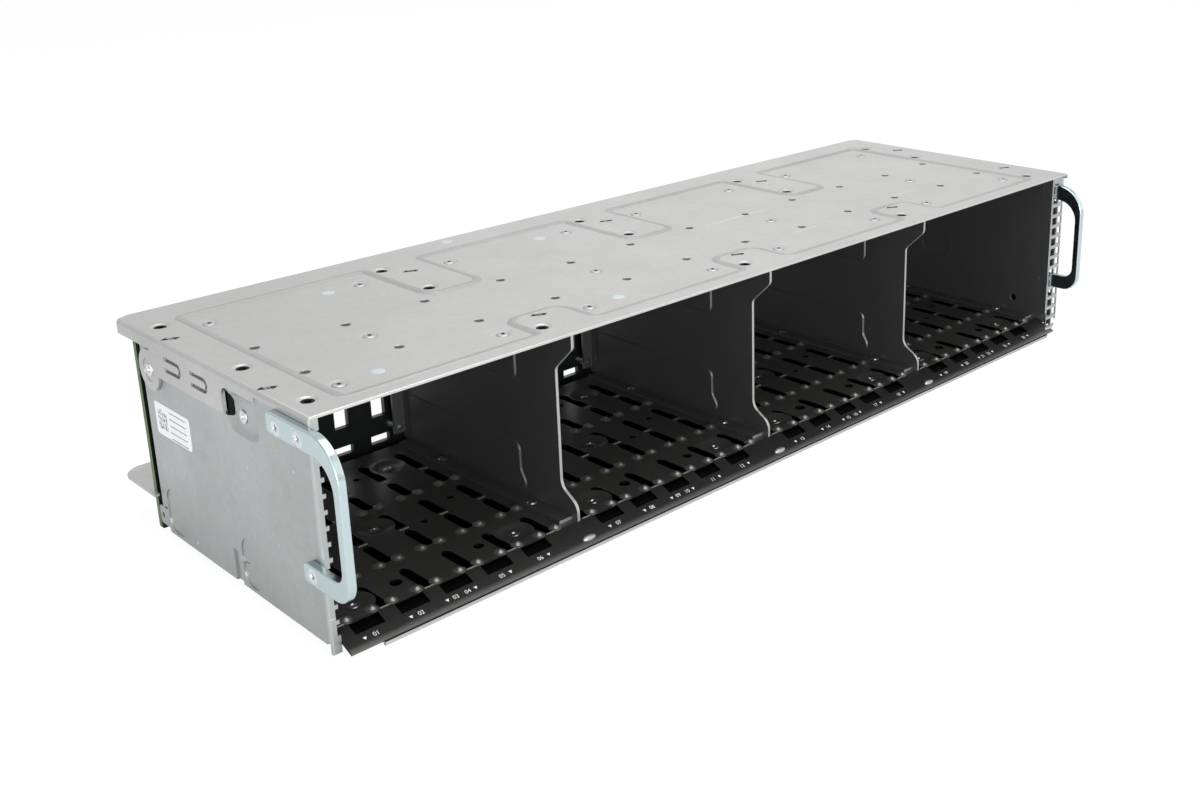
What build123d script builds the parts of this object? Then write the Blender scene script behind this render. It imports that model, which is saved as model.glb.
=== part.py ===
from build123d import *
import math
import os

# Front drive cage of a 2U rack server, with its backplane board.
# Drawn from the cover's left front corner: X to the right, Y to the rear, Z up from the underside
# of the base plate. Every piece is moved at the end, so that the row's origin is the middle of the
# base plate's underside.

# Drive grid
PITCH = 17.8
PER_BAY = 6
BAYS = 4
GUIDE_OFFSET = 4.4
DRIVE_CENTRE = 8.9

# Sheets
T_COVER = 1.0
T_SHEET = 1.0
T_WALL = 1.2
T_INNER = 1.0
T_BOARD = 2.4
T_HANDLE = 3.2
FIT = 0.1
SKIN = 0.05

# Overall
HEIGHT = 80.8
COVER_DEPTH = 140.0
ORIGIN_Y = 60.0
CHANNEL = 8.9
STANDOFF = 3.6
BOARD_INSET = 14.4
PANEL_FRONT = 1.8
TRAY_GAP = 7.6
DISH_DEPTH = 1.1

# Cover
COVER_LIP = 1.6
FLANGE_LOW = 66.0
FLANGE_REAR_LOW = 75.5
PANEL_RECESS = 0.4
RECESS_LEFT = 16.3
RECESS_FRONT = 7.5
RECESS_BACK = 16.2
PAD_LEFT = 12.0
PAD_RIGHT = 13.4
FRONT_PAD = 28.5
REAR_PAD = 76.5
RIVET_PAD_BACK = 7.9
RIVET_PAD_Z = 67.0
RIVET_PAD_R = 8.0
PAD_SEAT_R = 4.6
PAD_SEAT = 0.25
SINK_R = 4.0
SINK_HOLE_R = 2.3
SINK_INSET = 6.7
SINK_LEFT = 8.1
SINK_REAR = 21.5
SINK_MID = 55.5
SINK_FRONT = 13.8
SINK_LEFT_MID = 56.1
LANCE_YS = [108.2, 24.8]
LANCE_END_YS = [101.6, 32.0]
DIMPLE_R = 1.9
DIMPLE_DEPTH = 0.75
DIMPLE_SIDES = 12
DIMPLES = [(18.4, 71.3), (18.3, 36.8), (53.4, 69.3), (53.3, 34.5), (88.9, 71.2), (89.1, 36.8)]
DIMPLES_LEFT = [(14.2, 71.7), (14.5, 37.2)]
LANCE = 2.5
BEND_R = 1.4
EDGE_R = 0.6

# Rivets
RIVET_HEAD_R = 2.5
TRAY_HEAD_R = 2.1
RIVET_HEAD = 0.4
RIVET_R = 1.5
RIVET_TAIL_R = 2.0
RIVET_TAIL = 0.7
RIVET_SEAT_R = 4.0
GUIDE_RIVETS = [(20.2, 109.0), (84.0, 109.2), (53.1, 53.0), (20.3, 19.2), (86.2, 18.8)]
TRAY_RIVETS = [(16.0, 17.0), (85.0, 18.0), (51.0, 58.6), (16.0, 101.0), (84.4, 101.2)]

# Guide sheets
SLOT_WIDTH = 4.2
SLOT_POINT = 2.6
SLOT_TAPER = 1.2
SLOTS = [(7.6, 24.5), (32.5, 48.0), (51.0, 65.5), (73.0, 87.0), (91.0, 109.0)]
BUMP_YS = [8.8, 32.0, 72.0]
BUMP_X = 3.4
BUMP = 1.7
BUMP_RISE = 1.0
BUMP_SIDES = 8
DISH_R = 7.0
DISH_FLAT_R = 3.9
GUIDE_EDGE = 0.8
FLOOR_FRONT = 7.3
LIP_FRONT = -3.8
LIP_FALL = 4.6
STRIP_FALL = 1.35
STRIP_INSET = 17.0
LIP_WINDOW_LENGTH = 5.4
LIP_WINDOW_MARGIN = 3.2

# Scooped pad in the left flange and side panel: front, rear, low, high
SCOOP = (33.4, 57.2, 60.2, 76.2)
SCOOP_SLOT = (53.4, 58.6, 65.4, 74.6)
SCOOP_SCREW = (47.8, 66.8)
SCOOP_DEPTH = 1.5
SCOOP_DRAFT = 2.4
PAD_PRESS = 0.4

# Side panel and channel
JOG = 0.6
FLANGE_REACH = 3.4
TOOTH_PITCH = 5.57
WINDOW = 4.0
ROWS = 14
FLANGE_BOTTOM = -2.9
EAR = 5.2
HOOK_HOLE_Z = 5.4
TOP_FLANGE = 12.0

# Dividers
DIV_FRONT = 15.5
DIV_TOP_FRONT = 5.5
DIV_LOW_FRONT = 6.4
DIV_TOP_STEP = 72.0
DIV_TOP_STEP_LOW = 62.5
DIV_LOW_STEP = 9.4
DIV_LOW_STEP_TOP = 14.8
DIV_FOOT = 6.0
DIV_HEAD = 9.4
DIV_PRESS = 0.6
DIV_SWEEP_R = 5.5
DIV_TURN_R = 3.2
DIV_FLARE = 5.5
DIV_PANEL_FRONT = 39.0
DIV_PANEL_BACK = 6.0
DIV_PANEL_LOW = 5.6
DIV_PANEL_TOP = 25.6
DIV_PANEL_HIGH = 51.4

# Handles
GRIP_FRONT = -19.3
GRIP_WIDTH = 3.4
HANDLE_TOP = 78.1
HANDLE_LOW = 23.5
ARM_TOP = 7.6
ARM_LOW = 7.0
ARM_TOP_REAR = 22.0
ARM_LOW_REAR = 8.0
HANDLE_R_TOP = 14.0
HANDLE_R_LOW = 8.0
HANDLE_SCREWS = [(16.4, 73.6), (2.9, 73.9), (2.9, 26.8)]
HANDLE_SCREW_R = 1.5
HANDLE_HEAD_R = 2.9
HANDLE_EDGE_R = 0.6
HEAD_FALL = HANDLE_HEAD_R - HANDLE_SCREW_R
RIGHT_HANDLE_BACK = 5.4
RIGHT_HANDLE_DROP = 2.3
ARM_CLEAR = 0.4

# Board
BOARD_LOW = -1.5
BOARD_TOP = 75.0
WINDOW_LOW = (2.8, 6.4)
WINDOW_HIGH = (14.8, 26.0)
WINDOW_LOW_WIDTH = 9.0
WINDOW_HIGH_WIDTH = 6.4
CONNECTOR_WIDTH = 5.6
CONNECTOR_DEPTH = 6.4
CONNECTOR_LENGTH = 42.0
CONNECTOR_LOW = 28.0
STANDOFF_R = 2.2
BOARD_SCREW_R = 1.25
BOARD_HEAD_R = 2.2
BOARD_HEAD = 1.5
STANDOFF_ZS = [9.0, 70.0]

# Rear shelf
SHELF_DEPTH = 26.0
SHELF_WIDTH = 58.0
SHELF_Z = 14.2
SHELF_LEG = 13.0
SHELF_SCREW_R = 1.25

# Places that follow from the sizes
BAY = PITCH * PER_BAY
BOARD_Y = COVER_DEPTH - BOARD_INSET
PANEL_REAR = BOARD_Y - STANDOFF
JOG_REAR = SCOOP[0] + 0.9
TRAY_REAR = BOARD_Y - TRAY_GAP
DIV_PANEL_REAR = PANEL_REAR - DIV_PANEL_BACK
RECESS_REAR = COVER_DEPTH - RECESS_BACK
RIVET_PAD_Y = PANEL_REAR - RIVET_PAD_BACK
SINK_YS = [COVER_DEPTH - SINK_REAR, COVER_DEPTH - SINK_MID, SINK_FRONT]
SINK_LEFT_YS = [COVER_DEPTH - SINK_REAR, SINK_LEFT_MID, SINK_FRONT]
FLANGE_REAR = RIVET_PAD_Y - 2.1
SHELF_REACH = BOARD_Y + T_BOARD + SHELF_DEPTH
X_SIDE = T_COVER + FIT
X_GRID = X_SIDE + T_SHEET + FIT
X_RIGHT = X_GRID + BAY * BAYS
X_LEG = X_RIGHT + T_INNER / 2 + FIT
X_OUTER = X_LEG + CHANNEL
WIDTH = X_OUTER + FIT + T_COVER
Z_UNDER = HEIGHT - T_COVER
T_BASE = T_SHEET
Z_FLOOR = T_BASE + DISH_DEPTH + T_SHEET
Z_GUIDE = Z_UNDER - T_SHEET - FIT
Y_EAR = BOARD_Y - STANDOFF
Y_BOARD_REAR = BOARD_Y + T_BOARD
LINES = [X_GRID + BAY * k for k in range(BAYS + 1)]
GUIDES = [X_GRID + GUIDE_OFFSET + PITCH * j for j in range(PER_BAY * BAYS)]
DRIVES = [X_GRID + DRIVE_CENTRE + PITCH * j for j in range(PER_BAY * BAYS)]


def rect(u0, u1, v0, v1, r=0.0):
    shape = RectangleRounded(u1 - u0, v1 - v0, r) if r else Rectangle(u1 - u0, v1 - v0)
    return Pos((u0 + u1) / 2, (v0 + v1) / 2) * shape


def disc(u, v, r):
    return Pos(u, v) * Circle(r)


def along_x(face, x, length):
    return extrude(Plane(origin=(x, 0, 0), x_dir=(0, 1, 0), z_dir=(1, 0, 0)) * face, length, (1, 0, 0))


def along_y(face, y, length):
    return extrude(Plane(origin=(0, y, 0), x_dir=(1, 0, 0), z_dir=(0, -1, 0)) * face, length, (0, 1, 0))


def along_z(face, z, length):
    return extrude(Plane(origin=(0, 0, z)) * face, length, (0, 0, 1))


def block(x0, x1, y0, y1, z0, z1):
    return along_z(rect(x0, x1, y0, y1), z0, z1 - z0)


def rounding(u, way, top, r):
    # what a soft edge takes off the upper corner at (u, top); way points into the sheet
    return rect(min(u - way, u + way * r), max(u - way, u + way * r), top - r, top + 1) - disc(u + way * r, top - r, r)


def turned(points, place):
    # a round piece: its half section, (radius, height) pairs, spun about its own axis
    return place * revolve(Plane.XZ * Polygon(*points, align=None), Axis.Z)


def strip(path, thickness):
    # a folded sheet's section: one face follows the path, the other lies below it at the thickness
    lower = []
    for i, (u, v) in enumerate(path):
        normals = []
        for a, b in [(i - 1, i), (i, i + 1)]:
            if a >= 0 and b < len(path):
                du, dv = path[b][0] - path[a][0], path[b][1] - path[a][1]
                size = math.hypot(du, dv)
                normals.append((-dv / size, du / size))
        nu = sum(n[0] for n in normals)
        nv = sum(n[1] for n in normals)
        scale = thickness * 2 / (nu * nu + nv * nv) if len(normals) == 2 else thickness
        lower.append((u + nu * scale, v + nv * scale))
    return Polygon(*path, *reversed(lower), align=None)


def placed(shape):
    return Pos(-WIDTH / 2, -ORIGIN_Y, 0) * shape


def write(name, shapes):
    items = shapes if isinstance(shapes, list) else [shapes]
    solids = [s for item in items for s in placed(item).solids()]
    whole = solids[0] if len(solids) == 1 else Compound(children=solids)
    export_step(whole, f"parts/{name}.step")


def wall_holes(k):
    # the countersunk holes of one wall line, and the lanced slots beside them
    x = LINES[k]
    if k == 0:
        return [(SINK_LEFT, y) for y in SINK_LEFT_YS], [(X_SIDE + 3.1, y) for y in LANCE_END_YS]
    lances = LANCE_YS if k < BAYS else LANCE_END_YS
    return [(x - SINK_INSET, y) for y in SINK_YS], [(x + 0.6, y) for y in lances]


def sheet_rivet(x, y, z_head, z_tail, head_r, tail=True):
    # a flat rivet: head upward at z_head, tail closed under the last sheet at z_tail
    r = RIVET_R - SKIN
    points = [(0, z_tail - RIVET_TAIL), (RIVET_TAIL_R, z_tail - RIVET_TAIL), (RIVET_TAIL_R, z_tail),
              (r, z_tail), (r, z_head), (head_r, z_head), (head_r - 0.4, z_head + RIVET_HEAD),
              (0, z_head + RIVET_HEAD)]
    if not tail:
        points = [(0, z_tail), (r, z_tail)] + points[4:]
    return turned(points, Pos(x, y, 0))


def flange_outline():
    # the cover's side flange, drawn in (Y, Z)
    flange = rect(0, COVER_DEPTH, Z_UNDER - COVER_LIP, HEIGHT)
    flange += rect(JOG_REAR + FIT, FLANGE_REAR, FLANGE_LOW, HEIGHT)
    flange += rect(FLANGE_REAR - 1, COVER_DEPTH, FLANGE_REAR_LOW, HEIGHT)
    flange += disc(RIVET_PAD_Y, RIVET_PAD_Z, RIVET_PAD_R)
    return flange


def tongue_slits():
    # the two lanced tongues of the left flange: a U of slits round each
    slits = []
    for rear in (100.0, 80.0):
        outer = rect(rear - 13.0, rear, 69.8, 75.6, 2.8) + rect(rear - 6.0, rear, 69.8, 75.6)
        inner = rect(rear - 11.5, rear + 1, 71.3, 74.1, 1.3) + rect(rear - 6.0, rear + 1, 71.3, 74.1)
        slits.append(outer - inner)
    return slits


def dimple(x, y, face, floor_r):
    low = Pos(x, y, face - DIMPLE_DEPTH) * RegularPolygon(floor_r, DIMPLE_SIDES)
    high = Pos(x, y, face) * RegularPolygon(DIMPLE_R, DIMPLE_SIDES)
    return loft([low, high])


def top_cover():
    corner = (5.0, 2.2)
    outline = Polygon((0, 0), (WIDTH, 0), (WIDTH, COVER_DEPTH - corner[1]), (WIDTH - corner[0], COVER_DEPTH),
                      (corner[0], COVER_DEPTH), (0, COVER_DEPTH - corner[1]), align=None)
    cover = along_z(outline, Z_UNDER, T_COVER)
    left = flange_outline()
    for slit in tongue_slits():
        left -= slit
    left -= rect(SCOOP[0] - 6.0, SCOOP[1], FLANGE_LOW - 8, SCOOP[3], 4.0)
    left -= rect(SCOOP[0] - 2.0, SCOOP[0] + 4.0, FLANGE_LOW - 8, SCOOP[3])
    left -= disc(RIVET_PAD_Y, RIVET_PAD_Z, RIVET_R)
    seats = [Pos(x, RIVET_PAD_Y, RIVET_PAD_Z) * Rot(0, 90, 0) * Cylinder(PAD_SEAT_R, 2 * PAD_SEAT) for x in (0, WIDTH)]
    right = flange_outline() - disc(RIVET_PAD_Y, RIVET_PAD_Z, RIVET_R)
    trim = rect(-1, COVER_DEPTH - corner[1], 0, HEIGHT)
    cover += along_x(left & trim, 0, T_COVER)
    cover += along_x(right & trim, WIDTH - T_COVER, T_COVER)
    # the long edges are soft bends, the front edge is rounded over
    soft = [along_y(rounding(0, 1, HEIGHT, BEND_R), -1, COVER_DEPTH + 2),
            along_y(rounding(WIDTH, -1, HEIGHT, BEND_R), -1, COVER_DEPTH + 2),
            along_x(rounding(0, 1, HEIGHT, EDGE_R), -1, WIDTH + 2)]
    cover -= soft + seats
    # pressed panel: one shallow field, with raised pads round the holes at each wall
    field = rect(RECESS_LEFT, LINES[-1] - PAD_LEFT, RECESS_FRONT, RECESS_REAR, 4.0)
    for x in LINES[1:-1]:
        field -= rect(x - PAD_LEFT, x + PAD_RIGHT, RECESS_FRONT - 9, FRONT_PAD, 5.0)
        field -= rect(x - PAD_LEFT, x + PAD_RIGHT, REAR_PAD, COVER_DEPTH, 5.0)
    cuts = [along_z(field, HEIGHT - PANEL_RECESS, PANEL_RECESS + 1)]
    for k in range(BAYS + 1):
        holes, lances = wall_holes(k)
        for x, y in holes:
            cuts.append(along_z(disc(x, y, SINK_HOLE_R), Z_UNDER - 1, T_COVER + 2))
            cuts.append(Pos(x, y, HEIGHT - 0.35) * Cone(SINK_HOLE_R + 0.1, SINK_R - 0.1, 0.7))
        for x, y in lances:
            z_shape = Polygon((x - LANCE, y + 1.5), (x + 0.9, y + 0.9), (x + 0.5, y - 0.5), (x + LANCE, y - 0.6),
                              (x + LANCE - 0.2, y - 1.8), (x - 0.9, y - 1.0), (x - 0.5, y + 0.2), (x - LANCE, y + 0.3),
                              align=None)
            cuts.append(along_z(z_shape, Z_UNDER - 1, T_COVER + 2))
    floor = HEIGHT - PANEL_RECESS
    for x in LINES[:-1]:
        for dx, y in GUIDE_RIVETS:
            cuts.append(Pos(x + dx, y, floor - RIVET_HEAD / 2) * Cone(RIVET_HEAD_R + 0.1, RIVET_SEAT_R, RIVET_HEAD))
            cuts.append(along_z(disc(x + dx, y, RIVET_R), Z_UNDER - 1, T_COVER + 2))
    swells = []
    for x in LINES[:-1]:
        for dx, y in DIMPLES + (DIMPLES_LEFT if x == LINES[0] else []):
            cuts.append(dimple(x + dx, y, floor, 0.8))
            swells.append(dimple(x + dx, y, floor - 0.4, 0.8))
    return cover + swells - cuts


def cover_rivets():
    seat = HEIGHT - PANEL_RECESS - RIVET_HEAD
    return [sheet_rivet(x + dx, y, seat, Z_UNDER - T_SHEET, RIVET_HEAD_R) for x in LINES[:-1] for dx, y in GUIDE_RIVETS]


def slot_faces(front, rear, x0, x1):
    faces = []
    for x in GUIDES:
        if x0 < x < x1:
            for a, b in SLOTS:
                w = SLOT_WIDTH / 2
                y0, y1 = max(a, front), min(b, rear)
                faces.append(Polygon((x - w, y0), (x + w, y0), (x + w, y1 - SLOT_POINT), (x + w - SLOT_TAPER, y1),
                                     (x - w + SLOT_TAPER, y1), (x - w, y1 - SLOT_POINT), align=None))
    return faces


def dish(x, y, face, direction):
    # a pressed dish in a sheet whose outer face is at height face; direction -1 sinks it
    d = direction
    t = T_SHEET
    points = [(RIVET_R, face + d * DISH_DEPTH), (DISH_FLAT_R, face + d * DISH_DEPTH), (DISH_R, face),
              (DISH_R + 0.6, face), (DISH_R + 0.6, face - t), (DISH_R - 0.4, face - t),
              (DISH_FLAT_R - 0.4, face - t + d * DISH_DEPTH), (RIVET_R, face - t + d * DISH_DEPTH)]
    return turned(points, Pos(x, y, 0))


def bump(x, y, face, rise):
    base = Pos(x, y, face) * RegularPolygon(BUMP, BUMP_SIDES)
    top = Pos(x, y, face + rise) * RegularPolygon(BUMP / 2, BUMP_SIDES)
    return loft([base, top])


def upper_guide_plate(k):
    x0 = LINES[k] + GUIDE_EDGE
    x1 = LINES[k + 1] - DIV_HEAD - T_WALL
    sheet = rect(x0, x1, DIV_TOP_FRONT, TRAY_REAR)
    cuts = [f for f in slot_faces(DIV_TOP_FRONT + 2, TRAY_REAR - 2, x0 + 2, x1 - 2)]
    cuts += [disc(LINES[k] + dx, y, DISH_R + 0.2) for dx, y in GUIDE_RIVETS]
    plate = along_z(sheet - cuts, Z_GUIDE - T_SHEET, T_SHEET)
    rise = Z_UNDER - Z_GUIDE
    for dx, y in GUIDE_RIVETS:
        x = LINES[k] + dx
        points = [(RIVET_R, Z_UNDER - T_SHEET), (DISH_FLAT_R, Z_UNDER - T_SHEET), (DISH_R - 0.4, Z_GUIDE - T_SHEET),
                  (DISH_R + 0.6, Z_GUIDE - T_SHEET), (DISH_R + 0.6, Z_GUIDE), (DISH_R, Z_GUIDE),
                  (DISH_FLAT_R + 0.6, Z_GUIDE + rise), (RIVET_R, Z_GUIDE + rise)]
        plate += turned(points, Pos(x, y, 0))
    return plate


def lip_plane():
    # a plane on the sloping lip: its X along the cage, its Y up the slope, its Z out of the sheet
    run = FLOOR_FRONT - LIP_FRONT
    return Plane(origin=(0, FLOOR_FRONT, Z_FLOOR), x_dir=(1, 0, 0), z_dir=(0, -LIP_FALL, run))


def tray_x():
    return X_GRID + T_SHEET, LINES[-1] - T_INNER / 2 - FIT


def lower_guide_tray():
    x0, x1 = tray_x()
    sheet = rect(x0, x1, FLOOR_FRONT + 1, TRAY_REAR)
    cuts = slot_faces(FLOOR_FRONT + 1, TRAY_REAR - 2, x0, x1)
    for x in LINES[:-1]:
        cuts += [disc(x + dx, y, DISH_R + 0.2) for dx, y in TRAY_RIVETS]
        for dx, y, r in [(33.5, 17.9, 2.3), (69.1, 18.3, 2.0), (66.7, 49.3, 1.4), (85.4, 59.0, 1.4), (68.4, 99.6, 1.4)]:
            cuts.append(disc(x + dx, y, r))
    tray = along_z(sheet - cuts, Z_FLOOR - T_SHEET, T_SHEET)
    lip = strip([(LIP_FRONT, Z_FLOOR - LIP_FALL), (FLOOR_FRONT, Z_FLOOR), (FLOOR_FRONT + 2, Z_FLOOR)], -T_SHEET)
    front = along_x(lip, x0, x1 - x0)
    plane = lip_plane()
    windows = []
    for j, x in enumerate(GUIDES):
        windows.append(block(x - SLOT_WIDTH / 2, x + SLOT_WIDTH / 2, SLOTS[0][0], FLOOR_FRONT + 3, 0, Z_FLOOR + 1))
        right = x + PITCH - LIP_WINDOW_MARGIN
        if right < x1 - 2 and (j + 1) % PER_BAY:
            hole = rect(x + LIP_WINDOW_MARGIN, right, -LIP_WINDOW_LENGTH - 0.4, -0.4)
            windows.append(extrude(plane * hole, amount=2 * T_SHEET, both=True))
    # the lip's left end clears the side panel's front flange
    windows.append(block(x0 - 1, X_SIDE + FLANGE_REACH + FIT, LIP_FRONT - 1, PANEL_FRONT + T_SHEET + FIT, -9, Z_FLOOR + 1))
    tray += front - windows
    dishes = []
    for x in LINES[:-1]:
        dishes += [dish(x + dx, y, Z_FLOOR, -1) for dx, y in TRAY_RIVETS]
    bumps = []
    for x in GUIDES:
        for side in (-1, 1):
            bx = x + side * BUMP_X
            if min(abs(bx - wall) for wall in LINES) > T_WALL / 2 + BUMP + FIT:
                bumps += [bump(bx, y, Z_FLOOR, BUMP_RISE) for y in BUMP_YS]
    tray += dishes
    tray += bumps
    for x in LINES[1:]:
        for y in FOOT_RIVETS:
            tray -= along_z(disc(x - T_WALL / 2 - DIV_FOOT / 2, y, RIVET_R), Z_FLOOR - 2 * T_SHEET, 3 * T_SHEET)
    return tray


FOOT_RIVETS = [30.0, 89.0]


def tray_rivets():
    seat = T_BASE + T_SHEET
    return [sheet_rivet(x + dx, y, seat, 0, TRAY_HEAD_R, False) for x in LINES[:-1] for dx, y in TRAY_RIVETS]


def foot_rivets():
    pieces = []
    for k in range(1, BAYS + 1):
        t = T_WALL if k < BAYS else T_INNER
        for y in FOOT_RIVETS:
            x = LINES[k] - T_WALL / 2 - DIV_FOOT / 2
            pieces.append(sheet_rivet(x, y, Z_FLOOR + t, Z_FLOOR - T_SHEET, TRAY_HEAD_R))
    return pieces


def lip_offset(distance, y):
    # height of a line parallel to the lip, lying distance below it
    run = FLOOR_FRONT - LIP_FRONT
    size = math.hypot(run, LIP_FALL)
    return Z_FLOOR + (y - FLOOR_FRONT) * LIP_FALL / run - distance * size / run


def base_plate():
    x0 = X_SIDE + T_SHEET
    x1 = X_LEG - FIT
    run = FLOOR_FRONT - LIP_FRONT
    slope = LIP_FALL / run
    bend_y = FLOOR_FRONT - (lip_offset(T_SHEET + SKIN, FLOOR_FRONT) - T_BASE) / slope
    front_z = lip_offset(T_SHEET + SKIN, LIP_FRONT)
    path = [(LIP_FRONT, front_z - STRIP_FALL), (LIP_FRONT, front_z), (bend_y, T_BASE), (Y_EAR - T_WALL, T_BASE)]
    base = along_x(strip(path, -T_BASE), x0, x1 - x0)
    # the front strip stops short of the corners
    base -= block(x0 - 1, STRIP_INSET, LIP_FRONT - 1, PANEL_FRONT + 1.1, -9, T_BASE - 0.6)
    base -= block(WIDTH - STRIP_INSET, x1 + 1, LIP_FRONT - 1, PANEL_FRONT + 1.1, -9, T_BASE - 0.6)
    # the right edge runs on under the channel, the left edge turns up inside the side panel
    base += block(x1 - 1, X_OUTER, bend_y + 1, TRAY_REAR, 0, T_BASE)
    base += block(x0, x0 + T_BASE, bend_y + 1, TRAY_REAR - 2, 0, 12.0)
    for x in LINES[:-1]:
        for dx, y in TRAY_RIVETS:
            base -= along_z(disc(x + dx, y, RIVET_R), -1, T_BASE + 2)
    return base


def handle_shape(dy, dz):
    outer = Polygon((GRIP_FRONT, HANDLE_LOW), (ARM_TOP_REAR, HANDLE_LOW), (ARM_TOP_REAR, HANDLE_TOP),
                    (GRIP_FRONT, HANDLE_TOP), align=None)
    top_front = outer.vertices().sort_by(Axis.X)[:2].sort_by(Axis.Y)[-1]
    outer = fillet(top_front, HANDLE_R_TOP)
    low_front = outer.vertices().sort_by(Axis.Y)[:2].sort_by(Axis.X)[0]
    outer = fillet(low_front, HANDLE_R_LOW)
    inner = rect(GRIP_FRONT + GRIP_WIDTH, ARM_TOP_REAR + 9, HANDLE_LOW + ARM_LOW, HANDLE_TOP - ARM_TOP)
    corners = inner.vertices().sort_by(Axis.X)[:2]
    inner = fillet(corners.sort_by(Axis.Y)[-1:], HANDLE_R_TOP - 4.0)
    inner = fillet(inner.vertices().sort_by(Axis.Y)[:2].sort_by(Axis.X)[:1], HANDLE_R_LOW - 3.0)
    face = outer - inner
    face -= rect(ARM_LOW_REAR, ARM_TOP_REAR + 1, HANDLE_LOW - 1, HANDLE_LOW + ARM_LOW + 1)
    ends = [v for v in face.vertices() if v.X > ARM_LOW_REAR - 0.01]
    face = fillet(ends, 2.0)
    return Pos(dy, dz) * face


def handle(x, dy, dz, outside):
    # outside is -1 when the heads sit on the left face, +1 on the right face
    plate = softened(along_x(handle_shape(dy, dz), x, T_HANDLE), x)
    head_x = x if outside < 0 else x + T_HANDLE
    for y, z in HANDLE_SCREWS:
        sink = turned([(0, -1), (HANDLE_HEAD_R + FIT, -1), (HANDLE_HEAD_R + FIT, 0), (HANDLE_SCREW_R + FIT, HEAD_FALL),
                       (HANDLE_SCREW_R + FIT, T_HANDLE + 1), (0, T_HANDLE + 1)], Pos(head_x, y + dy, z + dz) * Rot(0, -90 * outside, 0))
        plate -= sink
    return plate


def softened(plate, x):
    # the long edges of a handle are rounded on both faces
    edges = [e for e in plate.edges() if e.length > 3.0 and max(v.X for v in e.vertices()) - min(v.X for v in e.vertices()) < 0.01
             and min(abs(e.center().X - x), abs(e.center().X - x - T_HANDLE)) < 0.01]
    return fillet(edges, HANDLE_EDGE_R)


def handle_screws(x, dy, dz, outside, end):
    # countersunk screws: head flush in the handle, shank through the sheet behind it
    pieces = []
    head_x = x if outside < 0 else x + T_HANDLE
    reach = abs(end - head_x)
    for y, z in HANDLE_SCREWS:
        points = [(0, 0.9), (0.8, 0), (HANDLE_HEAD_R, 0), (HANDLE_SCREW_R, HEAD_FALL), (HANDLE_SCREW_R, reach),
                  (0, reach)]
        pieces.append(turned(points, Pos(head_x, y + dy, z + dz) * Rot(0, -90 * outside, 0)))
    return pieces


def screw_holes(x0, x1, dy, dz, r):
    return [along_x(disc(y + dy, z + dz, r), x0, x1 - x0) for y, z in HANDLE_SCREWS]


def side_outline():
    outline = rect(PANEL_FRONT, PANEL_REAR, 0, Z_UNDER)
    outline -= rect(-1, 5.0, -1, 1.4)
    # the open notch with its arrow-shaped relief, and the rear hook
    outline -= rect(60.5, 65.5, -1, 12.7)
    outline -= Polygon((60.6, 8.6), (60.6, 12.0), (54.0, 10.3), align=None)
    outline -= rect(118.0, PANEL_REAR + 1, -1, 10.0)
    outline += rect(117.5, PANEL_REAR + 3.4, 1.6, 9.2, 1.6) + rect(117.0, PANEL_REAR, 3.4, 9.2)
    return outline


def pocket(grow, deep):
    # the drafted pocket of the scoop; grown by the sheet's thickness it gives the pocket's outside
    wide = rect(SCOOP[0] + 0.6 - grow, SCOOP[1] - 0.6 + grow, SCOOP[2] - grow, SCOOP[3] - 0.6 + grow, 7.0 + grow)
    d = SCOOP_DRAFT - grow
    narrow = rect(SCOOP[0] + 0.6 + d, SCOOP[1] - 0.6 - d, SCOOP[2] + d, SCOOP[3] - 0.6 - d, 7.0 - d)
    side = Plane(origin=(X_SIDE + deep * 0.5, 0, 0), x_dir=(0, 1, 0), z_dir=(1, 0, 0))
    floor = Plane(origin=(X_SIDE + SCOOP_DEPTH + deep, 0, 0), x_dir=(0, 1, 0), z_dir=(1, 0, 0))
    return loft([side * wide, floor * narrow])


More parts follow.
